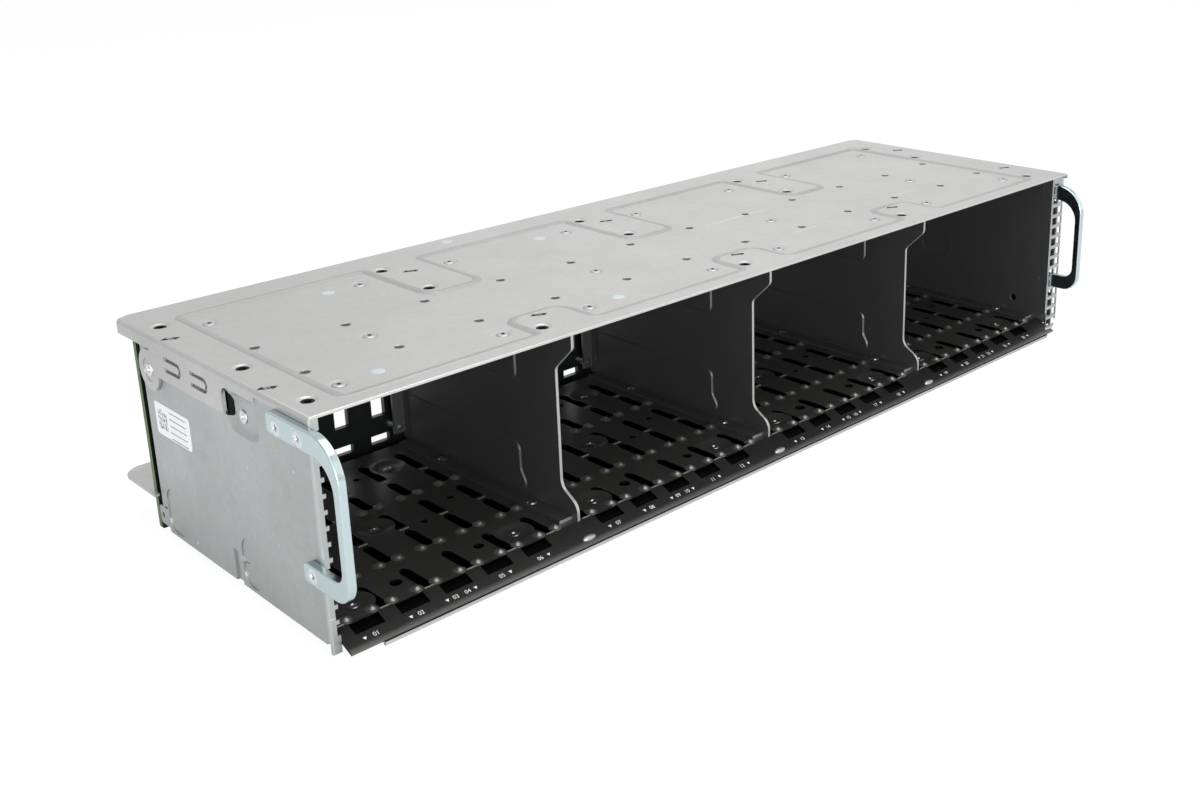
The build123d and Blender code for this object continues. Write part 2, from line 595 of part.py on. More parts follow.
def left_side_panel():
    panel = along_x(side_outline(), X_SIDE, T_SHEET)
    # the front of the panel stands out to the plane of the cover's flange
    panel += along_x(rect(PANEL_FRONT, JOG_REAR, 1.4, Z_UNDER - COVER_LIP - FIT), X_SIDE - JOG, JOG)
    # front flange with its toothed inner edge
    flange = rect(X_SIDE, X_SIDE + FLANGE_REACH, FLANGE_BOTTOM, Z_UNDER)
    for n in range(ROWS):
        z = Z_UNDER - 15.9 - n * TOOTH_PITCH + (TOOTH_PITCH - WINDOW) / 2
        if z > FLANGE_BOTTOM + 1:
            flange -= rect(X_SIDE + FLANGE_REACH - 1.2, X_SIDE + FLANGE_REACH + 1, z, z + WINDOW)
    panel += along_y(flange, PANEL_FRONT, T_SHEET)
    # flange under the cover, and the ear that carries the board
    panel += block(X_SIDE, X_SIDE + TOP_FLANGE, PANEL_FRONT + 4, PANEL_REAR, Z_UNDER - T_SHEET, Z_UNDER)
    ear = block(X_SIDE, X_SIDE + EAR + 1.0, Y_EAR - T_SHEET, Y_EAR, 5.0, BOARD_TOP - 1)
    panel += ear
    cuts = []
    # the pressed pad of the scoop, the hook pads and the rivet seat
    panel += pocket(T_SHEET, T_SHEET)
    cuts.append(pocket(0, 0) + along_x(rect(SCOOP[0] + 0.6, SCOOP[1] - 0.6, SCOOP[2], SCOOP[3] - 0.6, 7.0), X_SIDE - 1, 1))
    for y0, y1, z1 in [(46.6, 59.0, 20.2), (103.7, 117.4, 19.6)]:
        cuts.append(along_x(rect(y0, y1, 1.3, z1, 5.5), X_SIDE - 1, 1 + PAD_PRESS))
    cuts.append(along_x(disc(*SCOOP_SCREW, RIVET_R), X_SIDE - 1, 5))
    cuts.append(along_x(disc(PANEL_REAR + 0.9, HOOK_HOLE_Z, 1.0), X_SIDE - 1, 3))
    bend_x = X_SIDE - JOG + BEND_R
    bend = rect(X_SIDE - 2, bend_x, PANEL_FRONT - 1, PANEL_FRONT + BEND_R) - disc(bend_x, PANEL_FRONT + BEND_R, BEND_R)
    cuts.append(along_x(rect(*SCOOP_SLOT, 1.6), X_SIDE - 2, 8))
    cuts.append(along_z(bend, FLANGE_BOTTOM - 1, Z_UNDER - FLANGE_BOTTOM + 2))
    cuts.append(along_x(disc(RIVET_PAD_Y, RIVET_PAD_Z, RIVET_R), X_SIDE - 1, 5))
    cuts += screw_holes(X_SIDE - 1, X_SIDE + 5, 0, 0, HANDLE_SCREW_R + SKIN)
    holes, _ = wall_holes(0)
    cuts += [along_z(disc(x, y, SINK_HOLE_R), Z_UNDER - 3, 4) for x, y in holes]
    cuts.append(along_y(disc(X_SIDE + T_SHEET + 2.6, STANDOFF_ZS[0], BOARD_SCREW_R + FIT), Y_EAR - 3, 4))
    cuts.append(along_y(disc(X_SIDE + T_SHEET + 2.6, STANDOFF_ZS[1], BOARD_SCREW_R + FIT), Y_EAR - 3, 4))
    return panel - cuts


def right_side_channel():
    low = T_BASE
    leg = along_x(rect(PANEL_FRONT, PANEL_REAR, low, Z_UNDER), X_LEG, T_SHEET)
    outer = along_x(rect(PANEL_FRONT, PANEL_REAR, low, Z_UNDER), X_OUTER - T_SHEET, T_SHEET)
    face = rect(X_LEG, X_OUTER, FLANGE_BOTTOM, Z_UNDER)
    face -= rect(X_OUTER - 2, X_OUTER + 1, FLANGE_BOTTOM - 1, FLANGE_BOTTOM + 2.5)
    face += disc(X_OUTER - 2.6, FLANGE_BOTTOM + 2.6, 2.6)
    channel = leg + outer + along_y(face, PANEL_FRONT, T_SHEET)
    # the foot that is welded to the base, clear of the handle
    channel += block(X_LEG, X_OUTER, PANEL_FRONT + 6, TRAY_REAR - 2, low, low + T_SHEET)
    cuts = []
    for n in range(ROWS):
        z = Z_UNDER - 6.9 - n * TOOTH_PITCH
        cuts.append(block(X_LEG + 0.5, X_LEG + 4.6, 0, PANEL_FRONT + T_SHEET + 0.02, z - 1.9, z + 1.9))
        cuts.append(block(X_OUTER - 3.2, X_OUTER + 1, 0, PANEL_FRONT + 4.2, z - 1.9, z + 1.9))
    for low_z, high_z in [(HANDLE_LOW, HANDLE_LOW + ARM_LOW), (HANDLE_TOP - ARM_TOP, HANDLE_TOP)]:
        cuts.append(block(X_LEG + T_SHEET - 0.02, X_LEG + T_SHEET + T_HANDLE + ARM_CLEAR, 0,
                          PANEL_FRONT + T_SHEET + 0.02, low_z - RIGHT_HANDLE_DROP - ARM_CLEAR,
                          high_z - RIGHT_HANDLE_DROP + ARM_CLEAR))
    cuts += screw_holes(X_LEG - 1, X_LEG + 3, RIGHT_HANDLE_BACK, -RIGHT_HANDLE_DROP, HANDLE_SCREW_R + SKIN)
    cuts += screw_holes(X_OUTER - 3, X_OUTER + 1, RIGHT_HANDLE_BACK, -RIGHT_HANDLE_DROP, HANDLE_HEAD_R + 0.8)
    cuts.append(along_x(disc(RIVET_PAD_Y, RIVET_PAD_Z, RIVET_R), X_OUTER - 3, 5))
    return channel - cuts


def wall_outline(front_step):
    # a divider seen from the side: tabs reach forward at the top and at the foot
    top = Z_UNDER
    front = DIV_FRONT
    points = [(Y_EAR, Z_FLOOR), (Y_EAR, top), (DIV_TOP_FRONT, top), (DIV_TOP_FRONT, DIV_TOP_STEP),
              (front, DIV_TOP_STEP_LOW), (front, DIV_LOW_STEP_TOP), (DIV_LOW_FRONT, DIV_LOW_STEP),
              (DIV_LOW_FRONT, Z_FLOOR)]
    if not front_step:
        points = [(Y_EAR, Z_FLOOR), (Y_EAR, top), (PANEL_FRONT, top), (PANEL_FRONT, Z_FLOOR + 3.4),
                  (FLOOR_FRONT + 1, Z_FLOOR)]
        return Polygon(*points, align=None)
    face = Polygon(*points, align=None)
    high = [v for v in face.vertices() if v.X < front + 0.1 and DIV_TOP_STEP_LOW - 0.1 < v.Y < DIV_TOP_STEP + 0.1]
    face = fillet(high, DIV_TURN_R)
    low = [v for v in face.vertices() if v.X < front + 0.1 and DIV_LOW_STEP - 0.1 < v.Y < DIV_LOW_STEP_TOP + 0.1]
    return fillet(low, DIV_SWEEP_R)


def pressed_fields(x):
    # the two raised fields of a divider: sloping walls, standing out to the left of the plane at x
    low = Polygon((DIV_PANEL_FRONT, DIV_PANEL_TOP), (DIV_PANEL_REAR, DIV_PANEL_TOP), (DIV_PANEL_REAR, DIV_PANEL_LOW),
                  (DIV_PANEL_FRONT - DIV_FLARE, DIV_PANEL_LOW), (DIV_PANEL_FRONT, DIV_PANEL_LOW + 1.6 * DIV_FLARE), align=None)
    low = fillet(low.vertices(), 3.5)
    high = rect(DIV_PANEL_FRONT, DIV_PANEL_REAR, DIV_PANEL_HIGH, Z_UNDER - 6, 3.5)
    fields = []
    for face in (low, high):
        base = Plane(origin=(x, 0, 0), x_dir=(0, 1, 0), z_dir=(1, 0, 0))
        crown = Plane(origin=(x - DIV_PRESS, 0, 0), x_dir=(0, 1, 0), z_dir=(1, 0, 0))
        fields.append(loft([base * face, crown * offset(face, amount=-DIV_PRESS)]))
    return fields


def divider(k, t, front_step=True):
    x = LINES[k] - t / 2
    wall = along_x(wall_outline(front_step), x, t)
    # foot, head flange and rear ear, all turned to the left
    inner = LINES[k] - T_WALL / 2
    wall += block(inner - DIV_FOOT, x + t, FLOOR_FRONT + 2.5, TRAY_REAR - 1, Z_FLOOR, Z_FLOOR + t)
    head_front = DIV_TOP_FRONT
    wall += block(inner - DIV_HEAD, x + t, head_front, Y_EAR, Z_UNDER - t, Z_UNDER)
    wall += block(inner - EAR, x + t, Y_EAR - t, Y_EAR, Z_FLOOR + t + 2, BOARD_TOP - 1)
    cuts = []
    # pressed stiffening fields, low and high
    if front_step:
        wall += pressed_fields(x)
        cuts += [Pos(t, 0, 0) * field for field in pressed_fields(x)]
    else:
        cuts.append(along_x(disc(73.0, 32.8, 9.0), x - 1, 1 + DIV_PRESS))
        cuts.append(along_x(disc(21.6, 11.5, 1.8), x - 1, t + 2))
        cuts += screw_holes(x - 1, x + t + 1, RIGHT_HANDLE_BACK, -RIGHT_HANDLE_DROP, HANDLE_SCREW_R + SKIN)
    holes, _ = wall_holes(k)
    cuts += [along_z(disc(hx, y, SINK_HOLE_R), Z_UNDER - 3, 4) for hx, y in holes]
    cuts += [along_z(disc(inner - DIV_FOOT / 2, y, RIVET_R), Z_FLOOR - 1, t + 2) for y in FOOT_RIVETS]
    cuts += [along_y(disc(inner - 2.6, z, BOARD_SCREW_R + FIT), Y_EAR - t - 1, t + 2) for z in STANDOFF_ZS]
    return wall - cuts


def standoff_places():
    xs = [X_SIDE + T_SHEET + 2.6] + [x - T_WALL / 2 - 2.6 for x in LINES[1:]]
    return [(x, z) for x in xs for z in STANDOFF_ZS]


def standoffs():
    ring = [(BOARD_SCREW_R + SKIN, 0), (STANDOFF_R, 0), (STANDOFF_R, STANDOFF), (BOARD_SCREW_R + SKIN, STANDOFF)]
    return [turned(ring, Pos(x, Y_EAR, z) * Rot(-90, 0, 0)) for x, z in standoff_places()]


def board_screws():
    reach = T_BOARD + STANDOFF + T_WALL
    r = BOARD_SCREW_R
    points = [(0, 0), (0, BOARD_HEAD), (BOARD_HEAD_R - 0.4, BOARD_HEAD), (BOARD_HEAD_R, BOARD_HEAD - 0.5),
              (BOARD_HEAD_R, 0), (r, 0), (r, -reach), (0, -reach)]
    return [turned(points, Pos(x, Y_BOARD_REAR, z) * Rot(-90, 0, 0)) for x, z in standoff_places()]


def shelf_screw_places():
    return [(SHELF_X + 10.0, SHELF_Z + 8.0), (SHELF_X + SHELF_WIDTH - 8.0, SHELF_Z + 8.0)]


SHELF_X = -1.0


def backplane_board():
    face = rect(X_SIDE, X_OUTER, BOARD_LOW, BOARD_TOP, 0.8)
    for x in GUIDES:
        mid = x + WINDOW_HIGH_WIDTH / 2
        face -= rect(mid - WINDOW_HIGH_WIDTH / 2, mid + WINDOW_HIGH_WIDTH / 2, *WINDOW_HIGH)
        face -= rect(mid - WINDOW_LOW_WIDTH / 2, mid + WINDOW_LOW_WIDTH / 2, *WINDOW_LOW)
    for x, z in standoff_places() + shelf_screw_places():
        face -= disc(x, z, BOARD_SCREW_R + SKIN)
    return along_y(face, BOARD_Y, T_BOARD)


def drive_connector(x):
    # an upright receptacle: a shrouded body with the drive's tongue slot in its front
    w, d, h = CONNECTOR_WIDTH, CONNECTOR_DEPTH, CONNECTOR_LENGTH
    body = along_y(rect(x - w / 2, x + w / 2, CONNECTOR_LOW, CONNECTOR_LOW + h), BOARD_Y - d, d)
    mouth = rect(x - 0.9, x + 1.5, CONNECTOR_LOW + 3, CONNECTOR_LOW + h - 3)
    mouth += rect(x - 2.0, x + 1.5, CONNECTOR_LOW + 24.5, CONNECTOR_LOW + 27.5)
    return body - along_y(mouth, BOARD_Y - d - 1, d - 0.4)


def data_connectors():
    pieces = []
    for k in range(BAYS):
        x = LINES[k] + BAY / 2
        y = Y_BOARD_REAR
        shell = block(x - 10.5, x + 10.5, y, y + 13.0, 56.0, 64.4)
        shell -= block(x - 8.9, x + 8.9, y + 2.0, y + 14.0, 57.6, 62.0)
        pieces.append(shell)
    return pieces


def power_connectors():
    pieces = []
    for x in (LINES[1] + 16.0, LINES[3] + 16.0):
        y = Y_BOARD_REAR
        body = block(x - 9.4, x + 9.4, y, y + 12.0, 38.0, 48.6)
        pins = Sketch() + [rect(x - 7.8 + 4.2 * i, x - 4.8 + 4.2 * i, z, z + 3.0) for i in range(4) for z in (39.4, 43.6)]
        body -= along_y(pins, y + 3.0, 10.0)
        body += block(x - 2.4, x + 2.4, y, y + 9.0, 48.6, 50.2)
        pieces.append(body)
    return pieces


def rear_cable_shelf():
    x0, x1 = SHELF_X, SHELF_X + SHELF_WIDTH
    y0 = Y_BOARD_REAR
    face = Polygon((x0, y0), (x1, y0), (x1, SHELF_REACH), (x0, SHELF_REACH), align=None)
    left_rear = face.vertices().sort_by(Axis.Y)[-2:].sort_by(Axis.X)[0]
    face = fillet(left_rear, 8.0)
    right_rear = face.vertices().sort_by(Axis.X)[-2:].sort_by(Axis.Y)[-1]
    face = fillet(right_rear, 8.0)
    shelf = along_z(face, SHELF_Z - T_SHEET, T_SHEET)
    leg = along_y(rect(x0 + 2.6, x1 - 3.0, SHELF_Z - T_SHEET, SHELF_Z + SHELF_LEG, 1.2), y0, T_SHEET)
    shelf += leg
    # the tab that passes the board's left edge
    shelf += block(x0, X_SIDE - FIT, BOARD_Y - 2.2, y0 + 3.0, SHELF_Z - T_SHEET, SHELF_Z)
    for x, z in shelf_screw_places():
        shelf -= along_y(disc(x, z, SHELF_SCREW_R + SKIN), y0 - 1, 3)
    return shelf


def shelf_screws():
    reach = T_SHEET + T_BOARD
    r = SHELF_SCREW_R
    points = [(0, 0), (0, BOARD_HEAD), (BOARD_HEAD_R - 0.4, BOARD_HEAD), (BOARD_HEAD_R, BOARD_HEAD - 0.5),
              (BOARD_HEAD_R, 0), (r, 0), (r, -reach), (0, -reach)]
    y = Y_BOARD_REAR + T_SHEET
    return [turned(points, Pos(x, y, z) * Rot(-90, 0, 0)) for x, z in shelf_screw_places()]


def side_rivets():
    # the rear rivet of each cover flange, and the flat screw in the scoop
    r = RIVET_R - SKIN
    points = [(0, -0.25), (RIVET_HEAD_R - 0.6, -0.25), (RIVET_HEAD_R, 0.15), (RIVET_HEAD_R, PAD_SEAT), (r, PAD_SEAT),
              (r, T_COVER + FIT + T_SHEET),
              (RIVET_TAIL_R, T_COVER + FIT + T_SHEET), (RIVET_TAIL_R, T_COVER + FIT + T_SHEET + RIVET_TAIL),
              (0, T_COVER + FIT + T_SHEET + RIVET_TAIL)]
    left = turned(points, Pos(0, RIVET_PAD_Y, RIVET_PAD_Z) * Rot(0, 90, 0))
    right = turned(points, Pos(WIDTH, RIVET_PAD_Y, RIVET_PAD_Z) * Rot(0, -90, 0))
    return [left, right]


def scoop_screw():
    r = RIVET_R - SKIN
    x = X_SIDE + SCOOP_DEPTH
    points = [(0, -0.1), (0.7, -0.6), (2.2, -0.6), (RIVET_HEAD_R + 0.2, -0.2), (RIVET_HEAD_R + 0.2, 0), (r, 0), (r, 3.0), (0, 3.0)]
    return turned(points, Pos(x, *SCOOP_SCREW) * Rot(0, 90, 0))


os.makedirs("parts", exist_ok=True)
LEFT_X = X_SIDE - JOG - T_HANDLE
RIGHT_X = X_LEG + T_SHEET
write("top_cover", top_cover())
write("cover_rivets", cover_rivets())
for k in range(BAYS):
    write(f"upper_guide_plate_{k + 1}", upper_guide_plate(k))
    write(f"drive_connectors_{k + 1}", [drive_connector(x) for x in DRIVES[k * PER_BAY:(k + 1) * PER_BAY]])
write("lower_guide_tray", lower_guide_tray())
write("tray_rivets", tray_rivets())
write("foot_rivets", foot_rivets())
write("base_plate", base_plate())
write("left_side_panel", left_side_panel())
write("right_side_channel", right_side_channel())
for k in range(1, BAYS):
    write(f"divider_{k}", divider(k, T_WALL))
write("right_inner_wall", divider(BAYS, T_INNER, False))
write("left_handle", handle(LEFT_X, 0, 0, -1))
write("left_handle_screws", handle_screws(LEFT_X, 0, 0, -1, X_SIDE + T_SHEET + 0.9))
write("right_handle", handle(RIGHT_X, RIGHT_HANDLE_BACK, -RIGHT_HANDLE_DROP, 1))
write("right_handle_screws", handle_screws(RIGHT_X, RIGHT_HANDLE_BACK, -RIGHT_HANDLE_DROP, 1, X_RIGHT - T_INNER / 2))
write("backplane_board", backplane_board())
write("board_standoffs", standoffs())
write("board_screws", board_screws())
write("data_connectors", data_connectors())
write("power_connectors", power_connectors())
write("rear_cable_shelf", rear_cable_shelf())
write("shelf_screws", shelf_screws())
write("side_rivets", side_rivets())
write("scoop_screw", scoop_screw())
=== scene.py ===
import math

import bmesh
import bpy
from mathutils import Matrix, Vector


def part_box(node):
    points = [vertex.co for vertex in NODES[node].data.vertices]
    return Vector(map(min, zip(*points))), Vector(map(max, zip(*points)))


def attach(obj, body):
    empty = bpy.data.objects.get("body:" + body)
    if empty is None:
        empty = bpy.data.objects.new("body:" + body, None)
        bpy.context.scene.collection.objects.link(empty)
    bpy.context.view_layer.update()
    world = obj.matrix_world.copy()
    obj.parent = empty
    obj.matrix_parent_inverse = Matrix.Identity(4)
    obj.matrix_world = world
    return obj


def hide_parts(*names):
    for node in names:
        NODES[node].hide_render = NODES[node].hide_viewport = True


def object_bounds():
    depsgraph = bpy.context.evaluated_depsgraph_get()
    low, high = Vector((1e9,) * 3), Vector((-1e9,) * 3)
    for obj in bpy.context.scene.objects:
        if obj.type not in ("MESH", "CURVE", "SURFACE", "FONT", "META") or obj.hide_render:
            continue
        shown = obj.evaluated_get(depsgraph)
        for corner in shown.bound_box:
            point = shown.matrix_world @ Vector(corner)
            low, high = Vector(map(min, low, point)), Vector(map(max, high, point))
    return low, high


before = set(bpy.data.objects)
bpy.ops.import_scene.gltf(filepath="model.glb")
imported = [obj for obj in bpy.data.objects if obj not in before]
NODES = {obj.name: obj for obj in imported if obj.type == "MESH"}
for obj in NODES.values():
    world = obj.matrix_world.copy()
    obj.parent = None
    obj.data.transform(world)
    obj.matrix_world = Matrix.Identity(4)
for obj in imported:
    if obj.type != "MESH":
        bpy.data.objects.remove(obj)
CAD_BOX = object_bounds()
MM = 0.001
# corners nearer than this, in metres, are one corner
SAME_PLACE = 1e-6
UP = Vector((0, 0, 1))

# The drawing's own frame is measured from the cover's left front corner: these move it to the row's.
COVER_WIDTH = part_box("top_cover")[1][0] * 2 / MM
FRONT_TO_ORIGIN = 60.0


def at(x, y, z):
    """A place in millimetres from the cover's left front corner, as a row-frame vector."""
    return Vector((x - COVER_WIDTH / 2, y - FRONT_TO_ORIGIN, z)) * MM


def colour(code):
    """An sRGB hex value as linear RGBA, opaque."""
    parts = [int(code[i:i + 2], 16) / 255 for i in (0, 2, 4)]
    return tuple(p / 12.92 if p <= 0.04045 else ((p + 0.055) / 1.055) ** 2.4 for p in parts) + (1.0,)


def put(tree, kind, links=None, **settings):
    """Adds one node, with its settings, and values or links for its inputs."""
    made = tree.nodes.new(kind)
    for key, value in settings.items():
        setattr(made, key, value)
    for key, value in (links or {}).items():
        if isinstance(value, bpy.types.NodeSocket):
            tree.links.new(value, made.inputs[key])
        else:
            made.inputs[key].default_value = value
    return made


def new_finish(name):
    """An empty material and its node tree."""
    finish = bpy.data.materials.new(name)
    finish.use_nodes = True
    finish.node_tree.nodes.clear()
    return finish, finish.node_tree


def close_finish(tree, links):
    """Ends a finish with its shader, with the given values and links."""
    shader = put(tree, "ShaderNodeBsdfPrincipled", links)
    put(tree, "ShaderNodeOutputMaterial", {"Surface": shader.outputs["BSDF"]})


def galvanised(name, light, dark, roughness):
    """Hot-dip galvanised sheet steel: a dull zinc skin. The eye sees very faint cloudy patches, fine
    roll lines along the sheet, a few hair scratches, and soft, wide highlights."""
    finish, tree = new_finish(name)
    place = put(tree, "ShaderNodeTexCoord").outputs["Object"]
    clouds = put(tree, "ShaderNodeTexNoise", {"Vector": place, "Scale": 26.0, "Detail": 4.0,
                                              "Roughness": 0.6})
    # zinc grains of about 2 mm
    spangle = put(tree, "ShaderNodeTexVoronoi", {"Vector": place, "Scale": 480.0, "Randomness": 1.0})
    along = put(tree, "ShaderNodeMapping", {"Vector": place, "Scale": (40.0, 2200.0, 2200.0)})
    grain = put(tree, "ShaderNodeTexNoise", {"Vector": along.outputs["Vector"], "Scale": 1.0, "Detail": 2.0})
    speck = put(tree, "ShaderNodeSeparateColor", {"Color": spangle.outputs["Color"]})
    both = put(tree, "ShaderNodeMath", {0: speck.outputs["Red"], 1: 0.16, 2: clouds.outputs["Fac"]},
               operation="MULTIPLY_ADD")
    ramp = put(tree, "ShaderNodeMapRange", {"Value": both.outputs[0], "From Min": 0.35, "From Max": 0.8})
    skin = put(tree, "ShaderNodeMix", {0: ramp.outputs[0], 6: colour(dark), 7: colour(light)},
               data_type="RGBA")
    # hair scratches: thin bands of a turned, stretched noise
    across = put(tree, "ShaderNodeMapping", {"Vector": place, "Rotation": (0.0, 0.0, 0.5),
                                             "Scale": (12.0, 420.0, 420.0)})
    hair = put(tree, "ShaderNodeTexNoise", {"Vector": across.outputs["Vector"], "Scale": 1.0, "Detail": 1.0})
    scratch = put(tree, "ShaderNodeMapRange", {"Value": hair.outputs["Fac"], "From Min": 0.77,
                                               "From Max": 0.8})
    marked = put(tree, "ShaderNodeMix", {0: scratch.outputs[0], 6: skin.outputs[2], 7: colour("D8D8D6")},
                 data_type="RGBA")
    rough = put(tree, "ShaderNodeMapRange", {"Value": both.outputs[0], "From Min": 0.35, "From Max": 0.8,
                                             "To Min": roughness + 0.04, "To Max": roughness - 0.04})
    bump = put(tree, "ShaderNodeBump", {"Height": grain.outputs["Fac"], "Strength": 0.1, "Distance": 0.00005})
    close_finish(tree, {"Base Color": marked.outputs[2], "Metallic": 1.0, "Roughness": rough.outputs[0],
                        "Normal": bump.outputs["Normal"]})
    return finish


def black_sheet(name, cut, coats, roughness, front_edges=False, lip=None):
    """Black plated sheet: dark, half metallic faces with a satin sheen. The cut edges, told by which way they
    face, are paler on the walls; in the tray they are painted near black, a painted shade in its slots and
    windows. The lip, if any, is given by how far back its bend and its front edge lie."""
    finish, tree = new_finish(name)
    coords = put(tree, "ShaderNodeTexCoord")
    place = coords.outputs["Object"]
    facing = put(tree, "ShaderNodeSeparateXYZ", {"Vector": coords.outputs["Normal"]})
    if front_edges:
        flat = put(tree, "ShaderNodeMath", {0: facing.outputs["X"]}, operation="ABSOLUTE")
        level = put(tree, "ShaderNodeMath", {0: flat.outputs[0], 1: 0.2}, operation="LESS_THAN")
        ahead = put(tree, "ShaderNodeMath", {0: facing.outputs["Y"], 1: -0.3}, operation="LESS_THAN")
        cut_face = put(tree, "ShaderNodeMath", {0: level.outputs[0], 1: ahead.outputs[0]},
                       operation="MULTIPLY")
        # the ears at the rear face forward too, and are coated
        where = put(tree, "ShaderNodeSeparateXYZ", {"Vector": place})
        in_front = put(tree, "ShaderNodeMath", {0: where.outputs["Y"], 1: 0.0}, operation="LESS_THAN")
        edge = put(tree, "ShaderNodeMath", {0: cut_face.outputs[0], 1: in_front.outputs[0]},
                   operation="MULTIPLY").outputs[0]
    else:
        turned = put(tree, "ShaderNodeMath", {0: facing.outputs["Z"]}, operation="ABSOLUTE")
        edge = put(tree, "ShaderNodeMath", {0: turned.outputs[0], 1: 0.35}, operation="LESS_THAN").outputs[0]
    # orange peel of about 1 mm and faint rub marks
    peel = put(tree, "ShaderNodeTexNoise", {"Vector": place, "Scale": 900.0, "Detail": 2.0})
    rubs = put(tree, "ShaderNodeTexNoise", {"Vector": place, "Scale": 35.0, "Detail": 6.0, "Roughness": 0.7})
    coat = put(tree, "ShaderNodeMix", {0: rubs.outputs["Fac"], 6: colour(coats[0]), 7: colour(coats[1])},
               data_type="RGBA")
    coated = coat.outputs[2]
    if lip:
        # in front of the bend the coat is painted darker; along the rolled lower edge it is painted lighter,
        # a painted highlight
        depth = put(tree, "ShaderNodeSeparateXYZ", {"Vector": place}).outputs["Y"]
        bend, front = lip
        dull = put(tree, "ShaderNodeMapRange", {"Value": depth, "From Min": bend,
                                                "From Max": bend - 0.5 * MM})
        hem_highlight = put(tree, "ShaderNodeMapRange", {"Value": depth, "From Min": front + 2.2 * MM,
                                                "From Max": front + 0.4 * MM})
        flat = put(tree, "ShaderNodeMix", {0: dull.outputs[0], 6: coated, 7: colour("343433")},
                   data_type="RGBA")
        rolled = put(tree, "ShaderNodeMix", {0: hem_highlight.outputs[0], 6: flat.outputs[2], 7: colour("6C6B69")},
                     data_type="RGBA")
        coated = rolled.outputs[2]
    skin = put(tree, "ShaderNodeMix", {0: edge, 6: coated, 7: colour(cut)}, data_type="RGBA")
    rough = put(tree, "ShaderNodeMix", {0: edge, 2: roughness, 3: 0.42}, data_type="FLOAT")
    bump = put(tree, "ShaderNodeBump", {"Height": peel.outputs["Fac"], "Strength": 0.1, "Distance": 0.00006})
    close_finish(tree, {"Base Color": skin.outputs[2], "Metallic": 0.75, "Roughness": rough.outputs[0],
                        "Normal": bump.outputs["Normal"]})
    return finish


def base_with_painted_shade_top(name):
    """The base sheet: galvanised below and on its front strip. The faces that face up are painted near black
    and unshiny, a painted shade for the dark seen through the guide tray's slots and windows; they are told
    by their facing up."""
    finish, tree = new_finish(name)
    coords = put(tree, "ShaderNodeTexCoord")
    facing = put(tree, "ShaderNodeSeparateXYZ", {"Vector": coords.outputs["Normal"]})
    # the faces that face up get the painted shade
    coated = put(tree, "ShaderNodeMath", {0: facing.outputs["Z"], 1: 0.3},
                 operation="GREATER_THAN").outputs[0]
    clouds = put(tree, "ShaderNodeTexNoise", {"Vector": coords.outputs["Object"], "Scale": 60.0,
                                              "Detail": 4.0})
    zinc = put(tree, "ShaderNodeMix", {0: clouds.outputs["Fac"], 6: colour("B4B5B5"), 7: colour("C4C5C5")},
               data_type="RGBA")
    # near black painted shade on the upward faces
    skin = put(tree, "ShaderNodeMix", {0: coated, 6: zinc.outputs[2], 7: colour("020202")}, data_type="RGBA")
    metal = put(tree, "ShaderNodeMath", {0: 1.0, 1: coated}, operation="SUBTRACT")
    rough = put(tree, "ShaderNodeMix", {0: coated, 2: 0.42, 3: 0.7}, data_type="FLOAT")
    shine = put(tree, "ShaderNodeMix", {0: coated, 2: 0.5, 3: 0.04}, data_type="FLOAT")
    close_finish(tree, {"Base Color": skin.outputs[2], "Metallic": metal.outputs[0],
                        "Roughness": rough.outputs[0], "Specular IOR Level": shine.outputs[0]})
    return finish


def bright_zinc(name, code, roughness):
    """Bright zinc plate with a clear passivation: nearly a mirror, faintly blue, with fine polish marks."""
    finish, tree = new_finish(name)
    place = put(tree, "ShaderNodeTexCoord").outputs["Object"]
    haze = put(tree, "ShaderNodeTexNoise", {"Vector": place, "Scale": 120.0, "Detail": 4.0})
    rough = put(tree, "ShaderNodeMapRange", {"Value": haze.outputs["Fac"], "From Min": 0.3, "From Max": 0.7,
                                             "To Min": roughness, "To Max": roughness + 0.08})
    long_way = put(tree, "ShaderNodeMapping", {"Vector": place, "Scale": (3000.0, 3000.0, 150.0)})
    marks = put(tree, "ShaderNodeTexNoise", {"Vector": long_way.outputs["Vector"], "Scale": 1.0,
                                             "Detail": 2.0})
    bump = put(tree, "ShaderNodeBump", {"Height": marks.outputs["Fac"], "Strength": 0.06,
                                        "Distance": 0.00004})
    close_finish(tree, {"Base Color": colour(code), "Metallic": 1.0, "Roughness": rough.outputs[0],
                        "Normal": bump.outputs["Normal"]})
    return finish


